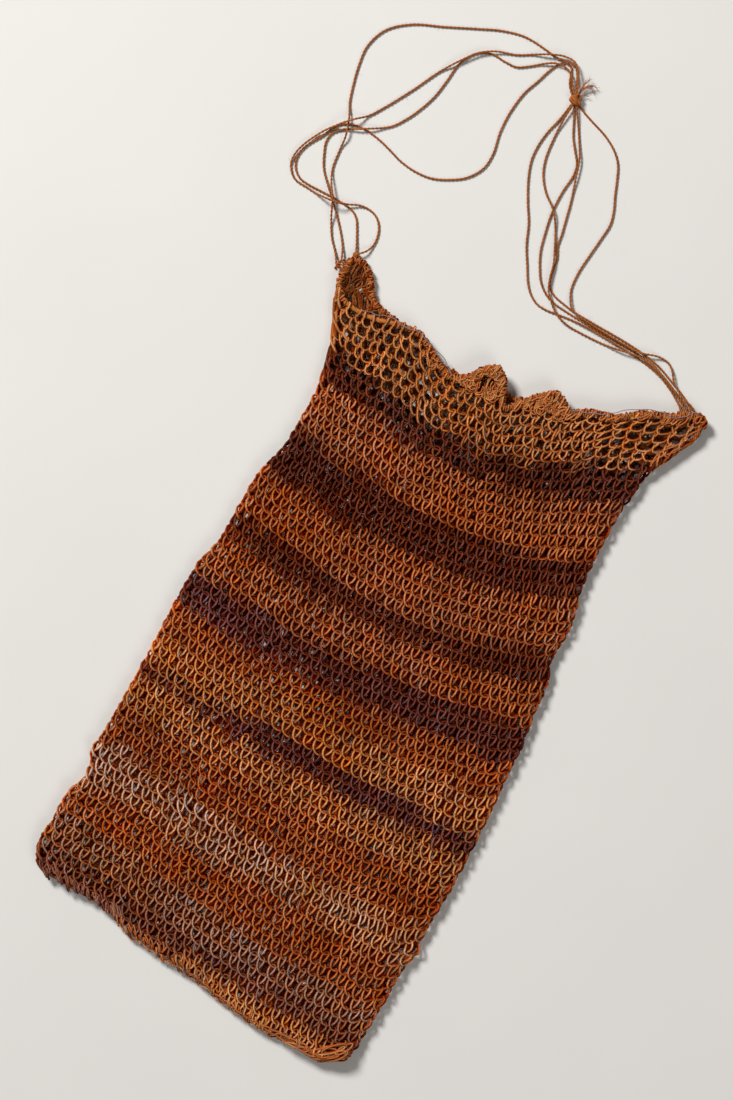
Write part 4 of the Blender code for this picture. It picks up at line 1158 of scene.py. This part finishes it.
def mouth_wraps(rng):
    """The extra turns of string that are worked over the foundation cord."""
    strands = Strands()
    for first, last, pitch, thick, away, name in WRAPS:
        _, middle, facing = along_mouth(first, last, WRAP_SAMPLES)
        middle, facing = spaced(middle, WRAP_STEP, facing)
        side, up = directions_across(middle, facing)
        along = np.arange(len(middle)) * WRAP_STEP
        angle = math.tau * along / pitch + 1.5 * along_string(rng, len(middle), WRAP_STEP, (11, 29))
        out = turned_by(side, up, angle)
        reach = away + 0.4 * along_string(rng, len(middle), WRAP_STEP, (5, 17))
        line = middle + out * reach[:, None]
        keep_above(line, thick / 2)
        dye = tinted(rng, getattr(dyes(), name), len(line), 1.0, (0.16, 0.06, 0.12))
        line, out, dye = spaced(line, 1.0, out, dye)
        # Painted shade on each wrap's side towards the cord, and a paler crest, partly wear and partly a
        # painted highlight.
        strands.add(line, unit(out), thick / 2, 5, dye, inner=WRAP_SHADE_TINT, worn=1.0)
    return strands


def ruffle(strands, rng, string):
    """The loops of slack string that hang down from the mouth over the last rounds."""
    for first, last, often, down, out in RUFFLES:
        for u in np.arange(first, last, 1 / often):
            u = u + rng.normal(0, 0.25)
            wide = rng.uniform(0.08, 0.26)
            deep = down * rng.uniform(0.55, 1.1) / ROUND_HIGH
            lean = rng.normal(0, 0.25)
            t = np.linspace(-0.35, math.tau - 0.35, 15)
            across = u + wide * np.sin(t) * (1 - 0.35 * np.cos(t)) + lean * (1 - np.cos(t)) / 2
            up = ROUNDS + 0.45 - deep * (1 - np.cos(t)) / 2
            lift = out + 0.9 * np.sin(t + rng.uniform(0, math.tau)) + rng.normal(0, 0.3)
            line, facing = on_bag(across, up, lift + 0.6)
            base = getattr(dyes(), ("orange", "gold_ochre", "light_ochre")[rng.integers(3)])
            line, facing = spaced(line, 1.5, facing, least=8)
            dye = tinted(rng, base, len(line), 1.5)
            # Painted shade on the string's side towards the inside of the pouch, and a paler crest, partly
            # wear and partly a painted highlight.
            strands.add(line, unit(facing), string / 2, 5, dye, inner=INNER_SHADE_TINT, worn=1.0)


def curl(strands, rng, string):
    """The heaps of loose loops where the mouth curls over, the low ones painted dark as shade, and its holes
    left open.
    """
    for x, y, wide, high, count, size, out in LIPS:
        under = out < 0
        for _ in range(count):
            way, far = rng.uniform(0, math.tau), math.sqrt(rng.random())
            middle = (x + wide * far * math.cos(way), y + high * far * math.sin(way))
            if out > 0 and in_curl_hole(*middle):
                continue
            base = getattr(dyes(), ("orange", "gold_ochre", "light_ochre", "rust")[rng.integers(4)])
            size_here = size * rng.uniform(0.8, 1.3)
            taller = size_here * rng.uniform(0.9, 1.3)
            line, facing = loose_loop(rng, middle, size_here, taller, rng.normal(0, 0.7), out)
            # The loops that lie under the curls are painted dark, as the shade behind them.
            dye = tinted(rng, base, len(line), 1.4, (0.16, 0.08, 0.16)) * (UNDER_CURL_SHADE if under else 1)
            radius = (string if under else string * CURL_THICK) / 2
            # Painted shade on each loop's lower side, and a paler crest, partly wear and partly a painted
            # highlight.
            strands.add(line, facing, radius, 5, dye, inner=INNER_SHADE_TINT, worn=1.0)


def gather(strands, rng, string):
    """The strands that are drawn tight into the mouth's corners, those that lie under painted darker as
    shade.
    """
    for first, last, count, down, out in GATHERS:
        under = out < 0
        for u in np.linspace(first, last, count):
            rounds = ROUNDS + 0.3 - np.linspace(0, down / ROUND_HIGH, GATHER_POINTS) * rng.uniform(0.8, 1)
            waves = np.linspace(0, rng.uniform(8, 14), GATHER_POINTS)
            sway = 0.25 * np.sin(waves + rng.uniform(0, 6))
            line, facing = on_bag(u + sway, rounds, out + rng.normal(0, 0.5, GATHER_POINTS))
            line, facing = spaced(line, 1.6, facing * np.sign(out))
            dye = tinted(rng, getattr(dyes(), "rust" if under else "ochre"), len(line), 1.6)
            keep_above(line, string / 2)
            # Painted shade: the strands that lie under are darker, and every strand is darker on its side
            # away from its facing; its crest is paler, partly wear and partly a painted highlight.
            dye = dye * (rng.uniform(0.2, 0.8) if under else 1)
            strands.add(line, unit(facing), string / 2, 5, dye, inner=INNER_SHADE_TINT, worn=1.0)


def laced_thread():
    """The thin thread that runs to and fro over the foundation cord."""
    thick = sizes().thread / MM
    strands = Strands()
    for first, last in LACED:
        u, middle, facing = along_mouth(first, last, LACE_SAMPLES)
        outside = -directions_across(middle, facing)[0]
        beside = 2.6 + 3.0 * np.sin(u * 0.95 + first) + 1.0 * np.sin(u * 2.3) + 0.4 * np.sin(u * 5.1)
        above = np.sqrt(np.maximum(0.0, LACE_WIDE**2 - beside**2))
        line = middle + outside * beside[:, None] + facing * above[:, None]
        keep_above(line, thick)
        line, face = spaced(line, 1.2, facing)
        strands.add(line, unit(face), thick / 2, 5, np.array(dyes().thread))
    return strands


def close_bottom(strands, rng):
    """The strands that run along the rolled bottom edge."""
    for first, last, rounds, out, wave, thick, name in CLOSING_STRANDS:
        u = np.linspace(first, last, 400)
        v = rounds + wave * (0.6 * np.sin(u * 1.9 + first) + 0.4 * np.sin(u * 4.3 + out))
        line, facing = on_bag(u, v, np.full(len(u), float(out)) + 0.5 * np.sin(u * 3.1))
        keep_above(line, thick / 2)
        line, facing = spaced(line, 1.6, facing)
        dye = tinted(rng, getattr(dyes(), name), len(line), 1.6)
        # Painted shade on the string's side towards the inside of the pouch, and a paler crest, partly wear
        # and partly a painted highlight.
        strands.add(line, unit(facing), thick / 2, 6, dye, inner=INNER_SHADE_TINT, worn=1.0)


def stitch_bottom(strands, rng):
    """The loops that are worked over those strands."""
    for first, last, often, low, high, names in CLOSING_STITCHES:
        for u in np.arange(first, last, 1 / often):
            t = np.linspace(0, math.pi * 1.5, 9)
            low_here = low + rng.normal(0, 0.12)
            v = low_here + (high - low) * rng.uniform(0.6, 1.1) * (1 + np.cos(t)) / 2
            lean, wide = rng.normal(0.34, 0.16), rng.uniform(0.04, 0.2)
            across = u + rng.normal(0, 0.2) + lean * (1 - np.cos(t)) / 2 + wide * np.sin(t)
            line, facing = on_bag(across, v, 0.7 + 0.8 * np.sin(t * 0.7) + rng.normal(0, 0.4))
            keep_above(line, 1.1)
            line, facing = evenly(line, 10, facing)
            base = getattr(dyes(), names[rng.integers(len(names))])
            dye = tinted(rng, base, len(line), 1.2, (0.2, 0.08, 0.14))
            # Painted shade on the string's side towards the inside of the pouch, and a paler crest, partly
            # wear and partly a painted highlight.
            strands.add(line, unit(facing), 1.0, 5, dye, inner=INNER_SHADE_TINT, worn=1.0)


def bunch_bottom(strands, rng):
    """The flat loops that bunch up at the bottom's right end."""
    for x, y, long, wide, turn, name in BUNCHED:
        t = np.linspace(0, math.tau, 29)[:-1]
        c, s = math.cos(math.radians(turn)), math.sin(math.radians(turn))
        flat = np.stack([long * np.cos(t), wide * np.sin(t)], -1) @ np.array([[c, s], [-s, c]]) + (x, y)
        share = (flat[:, 0] - BUNCH_ACROSS[0]) / BUNCH_ACROSS[1]
        flat[:, 1] = np.maximum(flat[:, 1], np.interp(share, SHARES, BOTTOM) - 0.5)
        inwards = np.clip((flat[:, 1] - BUNCH_RISES[0]) / BUNCH_RISES[1], 0, 1)
        rise = BUNCH_HIGH[0] + BUNCH_HIGH[1] * inwards + 1.2 * np.sin(t + rng.uniform(0, 6))
        dye = tinted(rng, getattr(dyes(), name), len(flat), 3)
        # Painted shade on each loop's lower side, and a paler crest, partly wear and partly a painted
        # highlight.
        strands.add(np.c_[flat, rise], UP, 1.1, 6, dye, closed=True, inner=INNER_SHADE_TINT, worn=1.0)


class STRINGBAG_OT_stage(bpy.types.Operator):
    """Add the camera, the pale floor and the soft light"""

    bl_idname = "string_bag.stage"
    bl_label = "Camera, floor and light"

    def execute(self, context):
        scene = context.scene
        camera = bpy.data.objects.new("camera", bpy.data.cameras.new("camera"))
        camera.data.lens = 100
        camera.data.sensor_width = 36
        camera.data.clip_end = 20
        # The photograph was taken straight from above, with the bag turned by 30 degrees in it. Its 1100
        # pixels are 1012 mm on the floor, which is 36 mm of the sensor behind a 100 mm lens.
        camera.location = (*CAMERA_OVER, CAMERA_HEIGHT)
        camera.rotation_euler = (0, 0, math.radians(CAMERA_TURN))
        scene.collection.objects.link(camera)
        scene.camera = camera

        mesh = bpy.data.meshes.new("floor")
        corners = [(FLOOR_REACH * x, FLOOR_REACH * y, 0) for x, y in ((-1, -1), (1, -1), (1, 1), (-1, 1))]
        mesh.from_pydata(corners, [], [(0, 1, 2, 3)])
        mesh.materials.append(painted_board())
        floor = bpy.data.objects.new("floor", mesh)
        scene.collection.objects.link(floor)

        for name, place_at, size, power in LIGHTS:
            light = bpy.data.lights.new(name, "AREA")
            light.shape = "DISK"
            light.size = size
            light.energy = power
            lamp = bpy.data.objects.new(name, light)
            lamp.location = place_at
            aim = Vector(AIM) - Vector(place_at)
            lamp.rotation_euler = aim.to_track_quat("-Z", "Y").to_euler()
            scene.collection.objects.link(lamp)
        world = bpy.data.worlds.new("pale_room")
        world.use_nodes = True
        background = world.node_tree.nodes["Background"]
        background.inputs["Color"].default_value = (1.0, 0.98, 0.96, 1)
        background.inputs["Strength"].default_value = ROOM_LIGHT
        scene.world = world
        scene.view_settings.view_transform = "Standard"
        return {"FINISHED"}


class STRINGBAG_OT_handle(bpy.types.Operator):
    """Lay the nine strings of the handle over one another"""

    bl_idname = "string_bag.handle"
    bl_label = "Handle strings"

    def execute(self, context):
        rng = np.random.default_rng(7)
        material = handle_string_fibre()
        width, lead = sizes().handle_string / MM, sizes().handle_lead / MM
        for name, line in handle_routes().items():
            dye = tinted(rng, dyes().handle, len(line), ROUTE_STEP)
            strands = Strands()
            two_ply(strands, line, width, lead, dye)
            piece = strands.build(name.replace("string", "handle"), material, "handle_string")
            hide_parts(name)
        return {"FINISHED"}


class STRINGBAG_OT_net(bpy.types.Operator):
    """Loop the pouch, round by round, from one continuous string"""

    bl_idname = "string_bag.net"
    bl_label = "Looped pouch"

    def execute(self, context):
        material = looped_string_fibre()
        rounds = net_rounds()
        rng = np.random.default_rng(37)
        for name, side, first, last, sides in NET_PIECES:
            strands = Strands()
            radius = sizes().net_string / MM / 2
            for number in range(first, last):
                line, facing, dye = rounds[number][side]
                uneven = 1 + THICKNESS_STRAYS * along_string(rng, len(line), 2.2, (9, 23, 70))
                pressed = 1.0
                if side:
                    uneven = uneven * np.interp(number, BACK_CHANGES, BACK_THICKER)
                    pressed = float(np.interp(number, BACK_CHANGES, BACK_PRESSED))
                # Painted shade on the string's side towards the inside of the pouch, of another hue near the
                # mouth, and a paler crest, partly wear and partly a painted highlight.
                inner = INNER_SHADE_TINT if not side or number < OPEN_BACK else OPEN_SHADE_TINT
                keep_above(line, radius * uneven + TOUCH)
                strands.add(
                    line, facing, radius * uneven, sides, dye, inner=inner, worn=1.0, pressed=pressed
                )
            piece = strands.build(name, material, "looped_string")
            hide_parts("bag_body")
        return {"FINISHED"}


class STRINGBAG_OT_mouth(bpy.types.Operator):
    """Run the foundation cord and the thin lacing thread round the mouth"""

    bl_idname = "string_bag.mouth"
    bl_label = "Mouth cord and lacing"

    def execute(self, context):
        rng = np.random.default_rng(11)
        material = bpy.data.materials["looped_bark_fibre_string"]
        cord = foundation_cord(rng).build("mouth_cord", mouth_cord_fibre(), "rim_cord")
        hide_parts("mouth_rim")
        mouth_wraps(rng).build("mouth_wraps", material, "looped_string")

        loose = Strands()
        string = sizes().net_string / MM * LOOSE_THICK
        for lay in (ruffle, curl, gather):
            lay(loose, rng, string)
        loose.build("mouth_ruffles", material, "looped_string")
        laced_thread().build("lacing_thread", lacing_thread_fibre(), "rim_cord")
        return {"FINISHED"}


class STRINGBAG_OT_ties(bpy.types.Operator):
    """Tie the knot of the handle, its frayed ends, the corner bead and the bindings"""

    bl_idname = "string_bag.ties"
    bl_label = "Knot and corner ties"

    def execute(self, context):
        rng = np.random.default_rng(5)
        material = handle_string_fibre()
        width = sizes().handle_string / MM
        for name, node, centre, size, spin, wraps in LUMPS:
            turns = [
                (centre, [(s - width) * share for s in size], spin, tilt, roll) for tilt, roll, share in wraps
            ]
            if node == "handle_knot":
                turns += [(middle, [s - width for s in wide], *angles) for middle, wide, *angles in BIGHTS]
            strands = Strands()
            for turn in turns:
                ring, facing = ring_round(*turn)
                dye = tinted(rng, dyes().handle, len(ring), RING_STEP)
                strands.add(ring, facing, width / 2, 8, dye, closed=True)
            piece = strands.build(name, material, "handle_string")
            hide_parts(node)
        for name, node, pitch, dye_name, worn, route in COILS:
            axis = smooth(route, 0.5)
            turns = length_of(axis) / pitch
            line = evenly(axis, round(turns * COIL_POINTS))[0]
            side, up = directions_across(line, UP)
            away = turned_by(side, up, math.tau * turns * np.linspace(0, 1, len(line)))
            wide = COIL_WIDE[0] + COIL_WIDE[1] * along_string(rng, len(line), 0.2, (3, 7))
            strands = Strands()
            base = getattr(dyes(), dye_name)
            dye = tinted(rng, base, len(line), 0.8)
            # Painted shade on the side of each turn away from its outside, in the coil and in its ties; the
            # coil's crest is paler, partly wear and partly a painted highlight, as far as its table says.
            strands.add(line + away * wide[:, None], away, COIL_STRING, 6, dye, inner=LOW_SHADE_TINT, worn=worn)
            for tie in TIES if node == "binding_left" else ():
                ring, facing = ring_round(*tie)
                dye = tinted(rng, base, len(ring), RING_STEP)
                strands.add(ring, facing, TIE_STRING, 6, dye, closed=True, inner=LOW_SHADE_TINT)
            piece = strands.build(name, material, "rim_cord")
            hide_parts(node)

        tuft = Strands()
        for count, spread, route in WISPS:
            middle = smooth(route, 0.9)
            for _ in range(count):
                line = middle[: round(len(middle) * rng.uniform(0.72, 1.0))]
                t = np.linspace(0, 1, len(line))[:, None]
                turn = 6 * t + rng.uniform(0, math.tau)
                swirl = np.concatenate([np.cos(turn), np.sin(turn), 0.6 * np.sin(turn + 1.2)], 1)
                line = line + swirl * (0.65 + spread * t**3 * rng.uniform(0.3, 1.2))
                keep_above(line, 0.4)
                thick = sizes().fibre / MM * rng.uniform(1.8, 3.6)
                dye = np.array(dyes().handle) * rng.uniform(0.9, 1.6)
                # Painted shade on each fibre's lower side.
                tuft.add(line, UP, thick / 2 * (1 - 0.5 * t[:, 0]), 4, dye, inner=LOW_SHADE_TINT)
        piece = tuft.build("frayed_ends", frayed_bark_fibre(), "frayed_fibre")
        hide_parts("knot_tuft")
        return {"FINISHED"}


class STRINGBAG_OT_closing(bpy.types.Operator):
    """Run the strands that close the pouch along its bottom edge"""

    bl_idname = "string_bag.closing"
    bl_label = "Closing edge"

    def execute(self, context):
        rng = np.random.default_rng(23)
        strands = Strands()
        for lay in (close_bottom, stitch_bottom, bunch_bottom):
            lay(strands, rng)
        piece = strands.build("closing_strands", looped_string_fibre(), "looped_string")
        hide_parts("bag_body")
        return {"FINISHED"}


class STRINGBAG_OT_loose_fibres(bpy.types.Operator):
    """Let fine fibres stand out of the net and the handle"""

    bl_idname = "string_bag.loose_fibres"
    bl_label = "Loose fibres"

    def execute(self, context):
        rng = np.random.default_rng(41)
        thick = sizes().fibre / MM
        fuzz = Strands()
        count = sizes().net_fibres
        u = rng.uniform(-0.5, STITCHES + 0.5, count)
        v = rng.uniform(0, ROUNDS + 0.4, count)
        near_mouth = rng.random(count) < MOUTH_FIBRES
        v = np.where(near_mouth, ROUNDS - 2 + rng.random(count) * 2.6, v)
        roots, facing = on_bag(u, v, np.full(count, 1.0))
        shade = np.array(dyes().frayed) * FUZZ_TINT
        for root, face in zip(roots, facing):
            aim = unit(face * 0.35 + unit(rng.normal(0, 1, 3)))
            hair(fuzz, rng, root, aim, rng.uniform(2, 5.5), thick, shade * rng.uniform(0.4, 1.0))
        fuzz.build("net_fibres", frayed_bark_fibre(), "frayed_fibre")

        fuzz = Strands()
        for line in handle_routes().values():
            for at in rng.integers(2, len(line) - 2, round(len(line) / 4)):
                aim = unit(rng.normal(0, 1, 3) * (1, 1, 0.6) + (0, 0, 0.3))
                root, length = line[at] + aim * 0.9, rng.uniform(1.5, 4.5)
                hair(fuzz, rng, root, aim, length, thick * 0.8, shade * rng.uniform(0.7, 1.2))
        fuzz.build("handle_fibres", frayed_bark_fibre(), "frayed_fibre")
        return {"FINISHED"}


class STRINGBAG_PT_sidebar(bpy.types.Panel):
    """The bag's sizes, dyes and pieces"""

    bl_label = "Knotted string bag"
    bl_idname = "STRINGBAG_PT_sidebar"
    bl_space_type = "VIEW_3D"
    bl_region_type = "UI"
    bl_category = "String bag"

    def draw(self, context):
        for group in (context.scene.string_bag_sizes, context.scene.string_bag_dyes):
            box = self.layout.box()
            for name in group.__annotations__:
                box.prop(group, name)
        for operator in OPERATORS:
            self.layout.operator(operator.bl_idname)


OPERATORS = (
    STRINGBAG_OT_stage, STRINGBAG_OT_handle, STRINGBAG_OT_net, STRINGBAG_OT_mouth, STRINGBAG_OT_ties,
    STRINGBAG_OT_closing, STRINGBAG_OT_loose_fibres,
)
CLASSES = (StringBagSizes, StringBagDyes, *OPERATORS, STRINGBAG_PT_sidebar)


def register():
    for one in CLASSES:
        bpy.utils.register_class(one)
    bpy.types.Scene.string_bag_sizes = PointerProperty(type=StringBagSizes)
    bpy.types.Scene.string_bag_dyes = PointerProperty(type=StringBagDyes)


def unregister():
    del bpy.types.Scene.string_bag_dyes
    del bpy.types.Scene.string_bag_sizes
    for one in reversed(CLASSES):
        bpy.utils.unregister_class(one)


def main():
    """Builds the whole bag."""
    register()
    bpy.ops.string_bag.stage()
    bpy.ops.string_bag.handle()
    bpy.ops.string_bag.net()
    bpy.ops.string_bag.mouth()
    bpy.ops.string_bag.ties()
    bpy.ops.string_bag.closing()
    bpy.ops.string_bag.loose_fibres()


if __name__ == "__main__":
    main()
